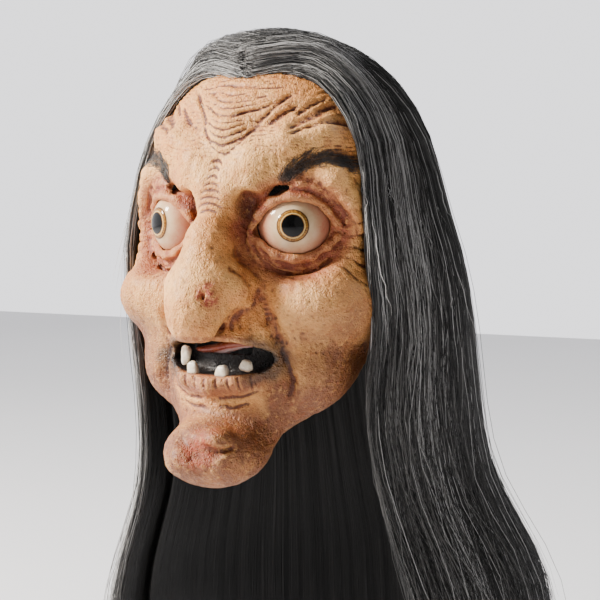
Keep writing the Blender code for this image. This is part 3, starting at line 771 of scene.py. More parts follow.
def latexMaterial():
    m = Paint("painted_latex_skin")
    c = latexPaint
    mottle = m.span(m.noise(26, 4, 0.6), 0.38, 0.62)
    base = m.blend(mottle, c["tan"], c["pale"])
    patch = m.span(m.noise(45, 3, 0.6, bend=0.8), 0.5, 0.72, 0.0, 0.35)
    base = m.blend(patch, base, c["shade"])
    # painted shade in the broad hollows, darker in the folds, painted highlight on the crests
    hollow = m.span(m.reading("hollow"), 0.02, 1.1, 0.0, 0.9)
    base = m.blend(hollow, base, c["shade"])
    basin = m.span(m.reading("basin"), 0.4, 4.5, 0.0, 0.85)
    basin = m.sum("MULTIPLY", basin, m.span(m.noise(50, 4, 0.6), 0.25, 0.65, 0.6, 1.0))
    base = m.blend(basin, base, c["shade"])
    # painted shade on the lower face, temples and hairline
    edge = m.sum("MULTIPLY", m.reading("edgeShade"), m.span(m.noise(38, 4, 0.6), 0.25, 0.7, 0.45, 0.95))
    base = m.blend(edge, base, c["edge"])
    # red paint round the eyes with painted shade under the brows
    socketRedAndShade = m.sum("MULTIPLY", m.reading("socketRedAndShade"), m.span(m.noise(90, 3), 0.3, 0.6, 0.7, 1.0))
    base = m.blend(socketRedAndShade, base, c["eyeRim"])
    # painted shade at the inner corners of the eyes
    base = m.blend(m.sum("MULTIPLY", m.reading("cornerDark"), 0.85), base, c["corner"])
    lip = m.sum("MULTIPLY", m.reading("lipRed"), 0.85)
    base = m.blend(lip, base, c["lip"])
    calm = m.span(m.reading("socketRedAndShade"), 0.0, 1.0, 1.0, 0.55)
    # painted shade in the fine folds, redder round the eyes
    fold = m.sum("MULTIPLY", m.span(m.reading("fold"), 0.02, 0.20, 0.0, 0.85), calm)
    foldTint = m.blend(m.reading("socketRedAndShade"), c["crease"], c["redCrease"])
    base = m.blend(fold, base, foldTint)
    # painted shade along the sculpted wrinkle lines
    lineShade = m.span(m.reading("wrinkleShade"), 0.4, 2.1, 0.0, 0.62)
    lineShade = m.sum("MULTIPLY", lineShade, m.span(m.noise(70, 3), 0.3, 0.6, 0.35, 1.0))
    base = m.blend(lineShade, base, c["crease"])
    # painted highlight on the crests of the folds
    crest = m.span(m.reading("fold"), -0.04, -0.2, 0.0, 0.3)
    base = m.blend(crest, base, c["pale"])
    # dark wash caught in the leathery grain
    wash = m.span(m.noise(230, 6, 0.72), 0.50, 0.68, 0.0, 0.50)
    base = m.blend(wash, base, c["shade"])
    worn = m.span(m.noise(310, 5, 0.7), 0.54, 0.66, 0.0, 0.35)
    base = m.blend(worn, base, c["pale"])
    # pores and speckles
    grain = m.span(m.cells(950, "DISTANCE_TO_EDGE"), 0.0, 0.12, 0.20, 0.0)
    base = m.blend(grain, base, c["crease"])
    dots = m.span(m.cells(330), 0.16, 0.10)
    few = m.span(m.noise(60, 2), 0.50, 0.60)
    base = m.blend(m.sum("MULTIPLY", m.sum("MULTIPLY", dots, few), 0.6), base, c["crease"])
    scab = m.sum("MULTIPLY", m.reading("redSpot"), m.span(m.noise(300, 4, 0.65), 0.38, 0.62, 0.25, 1.0))
    base = m.blend(scab, base, c["scab"])
    strokes = m.noise(620, 3, 0.6, place=m.stretched((1, 1, 0.28)))
    browShare = m.sum("ADD", m.reading("browPaint"), m.sum("MULTIPLY", strokes, 0.95))
    browShare = m.span(browShare, 0.80, 1.30, 0.0, 0.85)
    base = m.blend(browShare, base, c["brow"])
    base = m.blend(m.reading("mouthBlack"), base, c["black"])
    # unpainted latex on the inner wall
    bare = m.blend(m.span(m.noise(38, 4, 0.65), 0.35, 0.7), c["inside"], c["insideShade"])
    unpainted = m.sum("MULTIPLY", m.reading("innerWall"), m.sum("SUBTRACT", 1.0, m.reading("mouthBlack")))
    base = m.blend(unpainted, base, bare)
    rough = m.span(m.noise(140, 3), 0.3, 0.7, 0.42, 0.62)
    rough = m.sum("SUBTRACT", rough, m.sum("MULTIPLY", m.reading("mouthBlack"), 0.2))
    height = m.sum("ADD", m.sum("MULTIPLY", m.cells(620, "DISTANCE_TO_EDGE"), 0.6), m.noise(520, 4, 0.6))
    height = m.sum("ADD", height, m.sum("MULTIPLY", m.noise(190, 3), 0.8))
    pits = m.sum("MULTIPLY", m.span(m.cells(360), 0.30, 0.05), m.span(m.noise(70, 3), 0.42, 0.62))
    height = m.sum("SUBTRACT", height, m.sum("MULTIPLY", pits, 0.7))
    normal = m.bump(height, 0.0016, 0.85)
    return m.finish(base, rough, normal, Specular_IOR_Level=0.42, Subsurface_Weight=0.08,
                    Subsurface_Radius=(0.004, 0.0016, 0.0008), Subsurface_Scale=0.6,
                    Coat_Weight=0.10, Coat_Roughness=0.35)


face.data.materials.append(latexMaterial())
print("skin painted")

browHair = {
    "strokes": 560,
    "length": (6.0, 11.0),
    "radius": (0.13, 0.22),
    "colour": (0.018, 0.013, 0.011),
}


def browStrokes(points, normals):
    rng = np.random.default_rng(12)
    tree = KDTree(len(points))
    for i, place in enumerate(points):
        tree.insert(Vector(place), i)
    tree.balance()
    s, z = skinPlace(points)
    paths = []
    line = np.array(skin["browLine"], float)
    for side in (1, -1):
        near = (side * s > 30) & (side * s < 100) & (z < -50) & (z > -90) & (points[:, 1] < -20)
        near = np.nonzero(near & (lineDepth(side * s, z, skin["browLine"], 4.6) > 0.33))[0]
        outer = near[(normals[near] * (points[near] - np.array(skin["middle"]))).sum(1) > 0]
        for root in rng.choice(outer, browHair["strokes"] // 2):
            share = np.clip((side * s[root] - line[0, 0]) / (line[-1, 0] - line[0, 0]), 0, 1)
            rise = math.radians(np.interp(share, (0, 0.4, 1), (62, 28, -22)) + rng.normal(0, 9))
            place = Vector(points[root])
            path = []
            length = rng.uniform(*browHair["length"]) * (1 - 0.35 * share)
            for k in range(6):
                spot, index, gap = tree.find(place)
                n = Vector(normals[index])
                path.append(spot + n * (0.25 + 0.5 * k / 5))
                round3d = Vector((side * n.y * -1, side * n.x, 0)).normalized()
                way = round3d * math.cos(rise) + Vector((0, 0, math.sin(rise)))
                way = (way - n * way.dot(n)).normalized()
                place = spot + way * length / 5
                rise -= 0.07
            paths.append(path)
    return np.array([[tuple(v) for v in path] for path in paths])


# eyes: domes looking outwards, painted in rings from the pupil
eyes = {
    "cornea": 0.55,       # how far the clear front swells
    "backAt": 2.0,
    "whites": ((0.62, 0.46, 0.28), (0.53, 0.36, 0.20)),
    "corner": (0.40, 0.13, 0.075),
    "vein": (0.42, 0.05, 0.04),
    "ambers": ((0.36, 0.17, 0.03), (0.12, 0.045, 0.01)),
    # painted rings from the rim inwards: full inside, gone outside, colour
    "rings": ((0.425, 0.45, (0.075, 0.032, 0.012)), (0.395, 0.415, "amber"),
              (0.325, 0.345, (0.66, 0.44, 0.15)),
              (0.305, 0.318, (0.20, 0.09, 0.03)), (0.285, 0.30, (0.002, 0.002, 0.002))),
}


def ballFaces(rings, turns):
    # a first point, rings of points and a last point, as one closed ball
    faces = []
    last = 1 + (rings - 1) * turns
    for k in range(turns):
        n = (k + 1) % turns
        faces.append((0, 1 + n, 1 + k))
        faces.append((last + turns, last + k, last + n))
        for a in range(1, last, turns):
            b = a + turns
            faces.append((a + k, a + n, b + n, b + k))
    return faces


def ballPiece(name, places, faces, turned, paint, node):
    if turned:
        faces = [face[::-1] for face in faces]
    mesh = bpy.data.meshes.new(name)
    mesh.from_pydata((places * mm).tolist(), [], faces)
    mesh.shade_smooth()
    piece = bpy.data.objects.new(name, mesh)
    bpy.context.scene.collection.objects.link(piece)
    mesh.materials.append(paint)
    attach(piece, maskBody)
    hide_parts(node)
    return piece


def eyeMaterial():
    m = Paint("painted_eyeball")
    spread = m.reading("fromPupil")
    bend = m.sum("ADD", spread, m.sum("MULTIPLY", m.sum("SUBTRACT", m.noise(600, 2), 0.5), 0.02))
    colour = m.blend(m.span(m.noise(120, 3), 0.35, 0.65), *eyes["whites"])
    # redder and darker towards the rim, under the lids: the eye's own redness with painted shade over it
    colour = m.blend(m.span(spread, 0.44, 0.92, 0.0, 0.85), colour, eyes["corner"])
    veins = m.sum("ABSOLUTE", m.sum("SUBTRACT", m.noise(75, 5, 0.7, bend=1.5), 0.5), 0)
    veins = m.span(veins, 0.0, 0.012, 1.0, 0.0)
    veins = m.sum("MULTIPLY", veins, m.span(spread, 0.5, 0.85, 0.0, 0.75))
    colour = m.blend(veins, colour, eyes["vein"])
    amber = m.blend(m.span(m.noise(900, 3, 0.7), 0.35, 0.65), *eyes["ambers"])
    for full, gone, tint in eyes["rings"]:
        colour = m.blend(m.span(bend, full, gone, 1.0, 0.0), colour, amber if tint == "amber" else tint)
    rough = m.span(m.noise(200, 2), 0.3, 0.7, 0.10, 0.17)
    normal = m.bump(m.noise(260, 2), 0.0002, 0.3)
    return m.finish(colour, rough, normal, Coat_Weight=0.22, Coat_Roughness=0.07, Specular_IOR_Level=0.12)


def makeEye(name, side, node, paint):
    radius, back = skin["eyeBall"], eyes["backAt"]
    turns = 128
    angles = [*np.linspace(0, 0.5, 40)[1:], *np.linspace(0.5, math.acos(back / radius), 56)[1:]]
    places = [(0, 0, radius + eyes["cornea"])]
    spread = [0.0]
    for angle in angles:
        swell = eyes["cornea"] * smoothStep(0.50, 0.36, math.sin(angle)) if angle < 1.2 else 0
        wide, ahead = (radius + swell) * math.sin(angle), (radius + swell) * math.cos(angle)
        for k in range(turns):
            a = 2 * math.pi * k / turns
            places.append((wide * math.cos(a), wide * math.sin(a), ahead))
            spread.append(math.sin(angle) if angle < math.pi / 2 else 1.0)
    places.append((0, 0, back))
    spread.append(1.0)
    t = math.radians(skin["eyeTurn"])
    c = skin["eyeCentre"]
    across, up, ahead = np.array(places).T
    dx = across * math.cos(t) + ahead * math.sin(t)
    dy = across * math.sin(t) - ahead * math.cos(t)
    places = np.stack([side * (c[0] + dx), c[1] + dy, c[2] + up], 1)
    piece = ballPiece(name, places, ballFaces(len(angles), turns), side < 0, paint, node)
    paintAttribute(piece, "fromPupil", spread)


eyePaint = eyeMaterial()
makeEye("eyeball_left", 1, "eye_left", eyePaint)
makeEye("eyeball_right", -1, "eye_right", eyePaint)

# teeth: worn resin stubs
teeth = {
    # CAD node, root, half size, seed, lean
    "stub_upper": ("tooth_upper", (-19.0, -92.3, -179.6), (2.5, 2.3, 5.6), 31, -8),
    "stub_lower_right": ("tooth_lower_right", (-13.0, -94.2, -187.5), (3.3, 2.6, 4.8), 32, 6),
    "stub_lower_middle": ("tooth_lower_middle", (8.0, -95.2, -188.0), (3.9, 2.8, 3.9), 33, 0),
    "stub_lower_left": ("tooth_lower_left", (21.5, -90.3, -184.0), (3.4, 2.6, 3.3), 34, -10),
}


def toothMaterial():
    m = Paint("worn_tooth_resin")
    base = m.blend(m.span(m.noise(180, 4), 0.35, 0.65), (0.74, 0.68, 0.56), (0.60, 0.50, 0.36))
    base = m.blend(m.span(m.noise(520, 3), 0.55, 0.7, 0.0, 0.6), base, (0.30, 0.19, 0.10))
    base = m.blend(m.span(m.reading("rootward"), 0.3, 1.0, 0.0, 0.75), base, (0.20, 0.10, 0.05))
    rough = m.span(m.noise(300, 2), 0.3, 0.7, 0.28, 0.45)
    return m.finish(base, rough, m.bump(m.noise(700, 4), 0.0004, 0.5),
                    Coat_Weight=0.3, Coat_Roughness=0.2)


def ballGrid(rounds, turns, plump=1.0):
    # unit ball round its long axis, ready for ballFaces(rounds - 1, turns)
    places = [(0, 0, -1)]
    for r in range(1, rounds):
        a = math.pi * r / rounds
        for k in range(turns):
            b = 2 * math.pi * k / turns
            wide = math.sin(a) ** plump
            places.append((wide * math.cos(b), wide * math.sin(b), -math.cos(a)))
    places.append((0, 0, 1))
    return np.array(places)


def makeTooth(name, node, root, half, seed, lean, paint):
    rounds, turns = 26, 36
    up = 1 if "lower" in name else -1
    q = ballGrid(rounds, turns)
    q = np.sign(q) * np.abs(q) ** 0.62
    p = [q[:, i] + 40 for i in range(3)]
    lump = valueNoise(p, 0.9, seed) * 0.13
    lump += valueNoise(p, 0.35, seed + 1) * 0.05
    q = q * (1 + lump)[:, None]
    q[:, :2] *= (1 - 0.16 * q[:, 2])[:, None]
    tilt = math.radians(lean)
    x, y, z = q[:, 0] * half[0], q[:, 1] * half[1], q[:, 2] * half[2] * up
    places = np.stack([root[0] + x * math.cos(tilt) - z * math.sin(tilt), root[1] + y,
                       root[2] + x * math.sin(tilt) + z * math.cos(tilt)], 1)
    piece = ballPiece(name, places, ballFaces(rounds - 1, turns), up < 0, paint, node)
    paintAttribute(piece, "rootward", smoothStep(0.2, -1.0, q[:, 2]))


toothPaint = toothMaterial()
for name, (node, root, half, seed, lean) in teeth.items():
    makeTooth(name, node, root, half, seed, lean, toothPaint)
print("eyes and teeth made")


def tongueMaterial():
    m = Paint("moist_tongue_latex")
    base = m.blend(m.span(m.noise(160, 4), 0.35, 0.65), (0.30, 0.045, 0.022), (0.42, 0.10, 0.045))
    rough = m.span(m.noise(240, 2), 0.3, 0.7, 0.25, 0.45)
    return m.finish(base, rough, m.bump(m.noise(600, 3), 0.0004, 0.4),
                    Coat_Weight=0.4, Coat_Roughness=0.25)


tongue = {"place": (-4.0, -70.0, -175.6), "half": (21.0, 8.5, 4.2), "groove": 0.9, "wave": 2.2}


def makeTongue():
    rounds, turns = 44, 40
    q = ballGrid(rounds, turns, 0.7)[:, [2, 0, 1]]
    body = 1 + 0.06 * valueNoise([q[:, i] + 50 for i in range(3)], 0.5, 77)
    groove = tongue["groove"] * np.exp(-((q[:, 1] / 0.25) ** 2)) * (q[:, 2] > 0)
    half = tongue["half"]
    x = q[:, 0] * half[0]
    y = q[:, 1] * half[1] * body
    thick = half[2] * body * (1 - 0.35 * np.abs(q[:, 0]))
    z = q[:, 2] * thick - groove + tongue["wave"] * np.sin(q[:, 0] * 2.2)
    places = np.stack([x, y, z], 1) + tongue["place"]
    ballPiece("tongue_tip", places, ballFaces(rounds - 1, turns), False, tongueMaterial(),
              "tongue")


makeTongue()

# hair: dark streaky shells under several thousand strands
hair = {
    # height, shift back, half width, half length of the hanging hair
    "rings": ((-74, 0, 83.8, 102.5), (-86, 1, 87, 106), (-102, 4, 91.5, 110.5), (-125, 10, 95.5, 115),
              (-155, 18, 97.5, 116.5), (-200, 28, 96.5, 118), (-240, 35, 96, 122), (-270, 41, 100, 128),
              (-300, 50, 112, 140), (-335, 60, 126, 154), (-380, 64, 131, 159), (-430, 66, 133, 161)),
    # how far the front edge swings forward, in degrees, by height
    "edgeSwing": ((-74, 0), (-90, 2), (-125, 6), (-165, 8), (-207, 14), (-266, 11), (-430, 11)),
    "frontTurn": 66.0,
    "centre": (0.0, 0.0, -98.5),
    "axes": (86.5, 105.5, 109.5),
    "frontSwell": 15.0,
    "edgeDrop": 15.0,
    "strands": 8200,
    "locks": 330,
    "crownSteps": 9,
    "hangSteps": 14,
    "backTurn": 143.0,    # black strands past this turn are a piece of their own
    "hangFrom": -74.0,    # height where the crown hair starts to hang
    "longest": -425.0,
    "shortest": -335.0,
    "wispEnds": (-215.0, -84.0),
    "loose": 0.16,        # shares of strands that stray a little, and that stand away
    "wild": 0.035,
    "radius": (0.13, 0.23),
    "baseTips": (-392.0, -16.0),
    "liningTop": -114.0,
    "liningTips": (-390.0, -14.0),
}


def evened(rows, column):
    heights = np.linspace(rows[0][0], rows[-1][0], 400)
    keys = np.array([r[0] for r in rows])[::-1]
    values = np.interp(heights, keys, np.array([r[column] for r in rows], float)[::-1])
    padded = np.concatenate([np.full(20, values[0]), values, np.full(20, values[-1])])
    return heights[::-1], np.convolve(padded, np.ones(41) / 41, "valid")[::-1]


ringTables = [evened(hair["rings"], k) for k in (1, 2, 3)]
swingTable = evened(hair["edgeSwing"], 1)


def ringPlace(turn, z, lift):
    # turn in degrees, 0 at the face and 180 at the back, positive to the wearer's left
    shift, wide, long = [np.interp(z, *table) for table in ringTables]
    side = np.sign(turn)
    turn = np.abs(turn)
    swing = np.interp(z, *swingTable) * smoothStep(115, 66, turn)
    a = np.radians(turn - swing)
    across, ahead = np.sin(a), np.cos(a)
    front = ahead > 0
    across = np.where(front, across**0.8, across)
    ahead = np.where(front, np.abs(ahead) ** 0.8, ahead)
    return np.stack([side * (wide + lift) * across, shift - (long + lift) * ahead, z + 0 * across], -1)


def crownPlace(turn, t, lift, begin=None):
    # from the parting (t 0) to where the hair begins to hang (t 1)
    axes, centre = np.array(hair["axes"]), np.array(hair["centre"])
    side = np.sign(turn)[..., None]
    turn = np.abs(turn)
    end = (ringPlace(turn, np.full(np.shape(turn), hair["hangFrom"]), 0.0) - centre) / axes
    alpha = np.radians(np.interp(turn, (66, 100, 180), (37.5, 26, 4)))
    across = np.full(np.shape(turn), 0.012)
    if begin is not None:
        across = across + begin[:, :1]
        alpha = alpha + begin[:, 1:]
    start = np.stack([across, -np.sin(alpha), np.cos(alpha)], -1)
    middle = start + end
    middle = middle / np.linalg.norm(middle, axis=-1, keepdims=True) * 1.32
    bow = smoothStep(128, 66, turn)[..., None]
    middle = middle + bow * np.array([-0.10, 0.50, 0.12])
    t = t[..., None]
    way = start * (1 - t) ** 2 + 2 * middle * t * (1 - t) + end * t**2
    size = np.linalg.norm(way, axis=-1, keepdims=True)
    reach = 1 + (np.linalg.norm(end, axis=-1, keepdims=True) - 1) * t**2
    way = way / size * reach
    swell = 8.0 + (hair["frontSwell"] - 8.0) * smoothStep(0.12, 0.55, way[..., 0:1])
    swell = swell * smoothStep(0.05, -0.45, way[..., 1:2]) * (1 - t) ** 0.5
    drop = hair["edgeDrop"] * smoothStep(88, 66, turn)[..., None] * (1 - np.clip(t, 0, 1)) ** 0.5
    place = centre + way * (axes + lift[..., None] + swell - drop)
    place[..., 0:1] *= side
    return place


def hairPath(turn, lift, endHeight, crownSteps, hangSteps, sway=None, begin=None):
    # one row of places for every strand, from the parting to the tip
    t = np.linspace(0, 1, crownSteps)[None, :]
    turns = np.broadcast_to(turn[:, None], (len(turn), crownSteps))
    topLift = np.broadcast_to(lift[:, :1], turns.shape)
    top = crownPlace(turns, np.broadcast_to(t, turns.shape), topLift, begin)
    share = np.linspace(0, 1, hangSteps + 1)[None, 1:]
    z = hair["hangFrom"] + (endHeight[:, None] - hair["hangFrom"]) * share
    turns = np.broadcast_to(turn[:, None], z.shape)
    if sway is not None:
        turns = turns + sway[:, crownSteps:]
    down = ringPlace(turns, z, lift[:, crownSteps:])
    return np.concatenate([top, down], 1)


def tubes(name, paths, radius, sides=3):
    # closed thin tubes with pointed ends
    count, steps = paths.shape[:2]
    along = np.gradient(paths, axis=1)
    along /= np.maximum(np.linalg.norm(along, axis=2, keepdims=True), 1e-9)
    out = paths - np.array([0, 20, 0])
    out[..., 2] = 0
    out -= (out * along).sum(2, keepdims=True) * along
    out /= np.maximum(np.linalg.norm(out, axis=2, keepdims=True), 1e-9)
    cross = np.cross(along, out)
    profile = np.ones(steps)
    profile[0] = 0.55
    profile[-5:] = np.linspace(1, 0.25, 5)
    thick = radius[:, None] * profile[None, :]
    rings = []
    for k in range(sides):
        a = 2 * math.pi * k / sides
        rings.append(paths + (math.cos(a) * out + math.sin(a) * cross) * thick[..., None])
    ring = np.stack(rings, 2)
    tips = np.stack([paths[:, 0] - along[:, 0] * radius[:, None],
                     paths[:, -1] + along[:, -1] * radius[:, None] * 2], 1)
    each = steps * sides + 2
    points = np.concatenate([ring.reshape(count, -1, 3), tips], 1).reshape(-1, 3)
    quads, caps = [], []
    for r in range(steps - 1):
        for k in range(sides):
            n = (k + 1) % sides
            quads.append((r * sides + k, r * sides + n, (r + 1) * sides + n, (r + 1) * sides + k))
    last = (steps - 1) * sides
    for k in range(sides):
        n = (k + 1) % sides
        caps.append((steps * sides, n, k))
        caps.append((steps * sides + 1, last + k, last + n))
    base = (np.arange(count) * each)[:, None, None]
    quads = (np.array(quads)[None] + base).reshape(-1, 4)
    caps = (np.array(caps)[None] + base).reshape(-1, 3)
    mesh = bpy.data.meshes.new(name)
    mesh.vertices.add(len(points))
    mesh.vertices.foreach_set("co", (points * mm).astype(np.float32).ravel())
    mesh.loops.add(quads.size + caps.size)
    mesh.loops.foreach_set("vertex_index", np.concatenate([quads.ravel(), caps.ravel()]).astype(np.int32))
    mesh.polygons.add(len(quads) + len(caps))
    starts = np.concatenate([np.arange(len(quads)) * 4, quads.size + np.arange(len(caps)) * 3])
    mesh.polygons.foreach_set("loop_start", starts.astype(np.int32))
    mesh.update(calc_edges=True)
    mesh.shade_smooth()
    piece = bpy.data.objects.new(name, mesh)
    bpy.context.scene.collection.objects.link(piece)
    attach(piece, maskBody)
    return piece


def axisOf(m, index):
    node = m.tree.nodes.new("ShaderNodeSeparateXYZ")
    m.link(m.place, node.inputs[0])
    return node.outputs[index]


def ribs(m, value, period):
    # a rounded wave, 0 to 1, that repeats every period
    wave = m.sum("SINE", m.sum("MULTIPLY", value, 2 * math.pi / period), 0)
    return m.sum("ADD", m.sum("MULTIPLY", wave, 0.5), 0.5)


netLook = {"cell": 0.0028, "thread": (0.012, 0.012, 0.013), "gap": (0.0035, 0.0035, 0.0035),
           "dust": (0.030, 0.029, 0.028)}
tapeLook = {"rib": 0.0012, "dark": (0.010, 0.010, 0.010), "light": (0.030, 0.029, 0.028)}
elasticLook = {"rib": 0.0011, "dark": (0.010, 0.010, 0.011), "light": (0.040, 0.039, 0.040)}
bandDust = (0.060, 0.057, 0.054)
sliderLook = {"black": (0.008, 0.008, 0.009), "dusty": (0.040, 0.039, 0.037)}


def netMaterial():
    m = Paint("stretch_net")
    a = m.sum("ADD", axisOf(m, 0), axisOf(m, 1))
    b = m.sum("SUBTRACT", axisOf(m, 0), axisOf(m, 1))
    warp = ribs(m, m.sum("ADD", a, axisOf(m, 2)), netLook["cell"])
    weft = ribs(m, m.sum("SUBTRACT", b, axisOf(m, 2)), netLook["cell"])
    thread = m.sum("MAXIMUM", warp, weft)
    # the gaps between the threads are painted darker, as shade seen through the holes
    colour = m.blend(m.span(thread, 0.55, 0.8), netLook["gap"], netLook["thread"])
    colour = m.blend(m.span(m.noise(60, 3), 0.45, 0.7, 0.0, 0.5), colour, netLook["dust"])
    rough = m.span(m.noise(120, 3), 0.3, 0.7, 0.7, 0.9)
    return m.finish(colour, rough, m.bump(thread, 0.0005, 0.9), Sheen_Weight=0.2, Specular_IOR_Level=0.3)


def bandMaterial(name, look):
    # upright ribs crossed by a fine weave
    m = Paint(name)
    rib = ribs(m, axisOf(m, 2), look["rib"])
    cross = m.noise(900, 2, place=m.stretched((1, 1, 0.4)))
    raised = m.sum("MULTIPLY", rib, m.span(cross, 0.3, 0.7, 0.6, 1.0))
    # lighter on the rib tops, darker between them: painted highlight and shade on one yarn
    colour = m.blend(m.span(raised, 0.2, 0.9), look["dark"], look["light"])
    colour = m.blend(m.span(m.noise(70, 4, 0.6), 0.5, 0.75, 0.0, 0.6), colour, bandDust)
    rough = m.span(m.noise(160, 3), 0.3, 0.7, 0.65, 0.88)
    height = m.sum("ADD", rib, m.sum("MULTIPLY", cross, 0.4))
    return m.finish(colour, rough, m.bump(height, 0.0004, 0.9), Sheen_Weight=0.25, Specular_IOR_Level=0.35)


def sliderMaterial():
    m = Paint("moulded_slider")
    scratch = m.noise(500, 3, 0.7, place=m.stretched((1, 0.15, 1)))
    colour = m.blend(m.span(scratch, 0.60, 0.72, 0.0, 0.6), sliderLook["black"], sliderLook["dusty"])
    rough = m.span(m.sum("ADD", m.noise(90, 3), m.sum("MULTIPLY", scratch, 0.4)), 0.5, 1.0, 0.25, 0.5)
    return m.finish(colour, rough, m.bump(scratch, 0.00015, 0.6), Specular_IOR_Level=0.5)


def dress(names, paint):
    # the CAD shape stays as it is and takes a worn, woven or moulded finish
    for name in names:
        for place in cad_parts[name].material_slots:
            place.material = paint


dress(["wig_cap"], netMaterial())
dress(["weft_tape_upper", "weft_tape_middle", "weft_tape_lower"], bandMaterial("woven_tape", tapeLook))
dress(["nape_elastic", "head_strap", "strap_tab_left", "strap_tab_right"],
      bandMaterial("ribbed_elastic", elasticLook))
dress(["strap_slider"], sliderMaterial())
print("cap, tapes and straps finished")


# colour and share of the strands, from dark to pale
hairShades = {
    "black": ((0.008, 0.0078, 0.0078), 0.46),
    "charcoal": ((0.034, 0.033, 0.032), 0.25),
    "grey": ((0.14, 0.136, 0.132), 0.16),
    "silver": ((0.46, 0.455, 0.45), 0.13),
}


def strandMaterial(name, colour):
    m = Paint("hair_fibre_" + name)
    rough = m.span(m.noise(55, 2), 0.3, 0.7, 0.30, 0.5)
    normal = m.bump(m.noise(500, 2, place=m.stretched((1, 1, 0.1))), 0.0002, 0.3)
    return m.finish(colour, rough, normal, Specular_IOR_Level=0.4, Sheen_Weight=0.1)


def makeStrands():
    rng = np.random.default_rng(7)
    count, locks = hair["strands"], hair["locks"]
    crown, hang = hair["crownSteps"], hair["hangSteps"]
    first = hair["frontTurn"]
    spread = rng.random(locks) ** 1.15
    lockTurn = (first + (180 - first) * spread) * np.where(np.arange(locks) % 2, 1, -1)
    lockEnd = hair["shortest"] + (hair["longest"] - hair["shortest"]) * rng.random(locks) ** 0.6
    lockLift = rng.uniform(-1.8, 1.2, locks)
    lockWave = rng.uniform(0, 6.28, (locks, 3))
    lockTone = rng.random(locks)
    own = rng.integers(0, locks, count)
    sideways = rng.normal(0, 1, count) * 2.6
    turn = lockTurn[own] + sideways
    turn = np.sign(lockTurn[own]) * np.clip(np.abs(turn), first - 1.5 * rng.random(count), 180)
    pull = turn - lockTurn[own]
    place = np.concatenate([np.zeros(crown), np.linspace(0, 1, hang + 1)[1:]])[None]
    down = place**1.3
    end = lockEnd[own] + rng.normal(0, 9, count)
    end = np.clip(end, hair["longest"] - 3, -250)
    short = rng.random(count) < 0.03 + 0.24 * smoothStep(125, 66, np.abs(turn))
    end = np.where(short, rng.uniform(*hair["wispEnds"], count), end)
    wild = rng.random(count) < hair["wild"]
    loose = rng.random(count) < hair["loose"]
    wave = lockWave[own]
    waves = np.sin(place * 9 + wave[:, :1]) * 0.9 + np.sin(place * 21 + wave[:, 1:2]) * 0.35
    small = np.sin(place * rng.uniform(14, 40, (count, 1)) + rng.uniform(0, 6.28, (count, 1))) * 0.75
    ripple = waves * 0.8 + small * np.where(loose, 2.4, 0.8)[:, None]
    sway = -pull[:, None] * 0.62 * down + ripple * down**0.5
    sway = sway + np.where(loose, rng.normal(0, 4.2, count), 0)[:, None] * down
    lift = lockLift[own][:, None] + rng.uniform(-1.4, 1.9, (count, 1)) + waves * 1.2 * down
    lift = lift + np.where(loose, rng.uniform(0.5, 5.5, count), 0)[:, None] * (0.2 + 0.8 * down)
    atFront = smoothStep(120, 80, np.abs(turn))
    astray = np.sin(place * rng.uniform(2, 6, (count, 1)) + rng.uniform(0, 6.28, (count, 1)))
    lift = lift + np.where(wild, rng.uniform(2, 11, count), 0)[:, None] * down
    sway = np.where(short[:, None], sway * 0.3, sway)
    sway = sway + np.where(wild & ~short, rng.uniform(2, 7, count), 0)[:, None] * astray * down
    begin = np.stack([rng.normal(0, 0.055, count), rng.normal(0, 0.07, count)], 1)
    begin[:, 1] = begin[:, 1] * (1 - atFront) - np.abs(begin[:, 1]) * atFront
    paths = hairPath(turn, lift, end, crown, hang, sway, begin)
    # strands part company a little over the crown too
    arch = np.sin(np.linspace(0, np.pi, crown))[None, :, None]
    paths[:, :crown] += rng.normal(0, 0.9, (count, 1, 3)) * arch
    radius = rng.uniform(*hair["radius"], count)
    # paler hair at the temples and along the front of the parting
    frontness = smoothStep(118, 66, np.abs(turn))
    tone = 0.62 * lockTone[own] + 0.45 * rng.random(count) - 0.22 * frontness
    tone = tone - 0.55 * short + 0.25 * rng.random(count) * short
    order = np.argsort(np.argsort(-tone)) / count
    # the darker shades have so many strands that they are split into sides and back
    back = np.abs(turn) >= hair["backTurn"]
    parts = {"black": {"_left": (turn > 0) & ~back, "_right": (turn < 0) & ~back, "_back": back},
             "charcoal": {"_left": turn > 0, "_right": turn <= 0}}
    whole = {"": np.full(count, True)}
    start = 0.0
    for name, (colour, part) in hairShades.items():
        chosen = (order >= start) & (order < start + part)
        start += part
        paint = strandMaterial(name, colour)
        for ending, here in parts.get(name, whole).items():
            here = here & chosen
            piece = tubes("hair_strands_" + name + ending, paths[here], radius[here])
            piece.data.materials.append(paint)
            print("hair strands", name + ending, int(here.sum()))


makeStrands()


def makeBrows():
    rng = np.random.default_rng(5)
    paths = browStrokes(points, normalsOf(points, quads))
    radius = rng.uniform(*browHair["radius"], len(paths))
    piece = tubes("eyebrow_strokes", paths, radius)
    piece.data.materials.append(strandMaterial("eyebrow", browHair["colour"]))
    print("eyebrow strokes", len(paths))


makeBrows()


def hairMassMaterial():
    m = Paint("hair_under_layer")
    node = m.tree.nodes.new("ShaderNodeCombineXYZ")
    m.link(m.reading("strandTurn"), node.inputs[0])
    m.link(m.reading("strandAlong"), node.inputs[1])
    streak = m.noise(1.0, 6, 0.75, place=node.outputs[0])
    colour = m.blend(m.span(streak, 0.45, 0.75), (0.006, 0.006, 0.006), (0.045, 0.043, 0.044))
    rough = m.span(streak, 0.3, 0.7, 0.45, 0.7)
    return m.finish(colour, rough, m.bump(streak, 0.002, 0.8), Specular_IOR_Level=0.3)


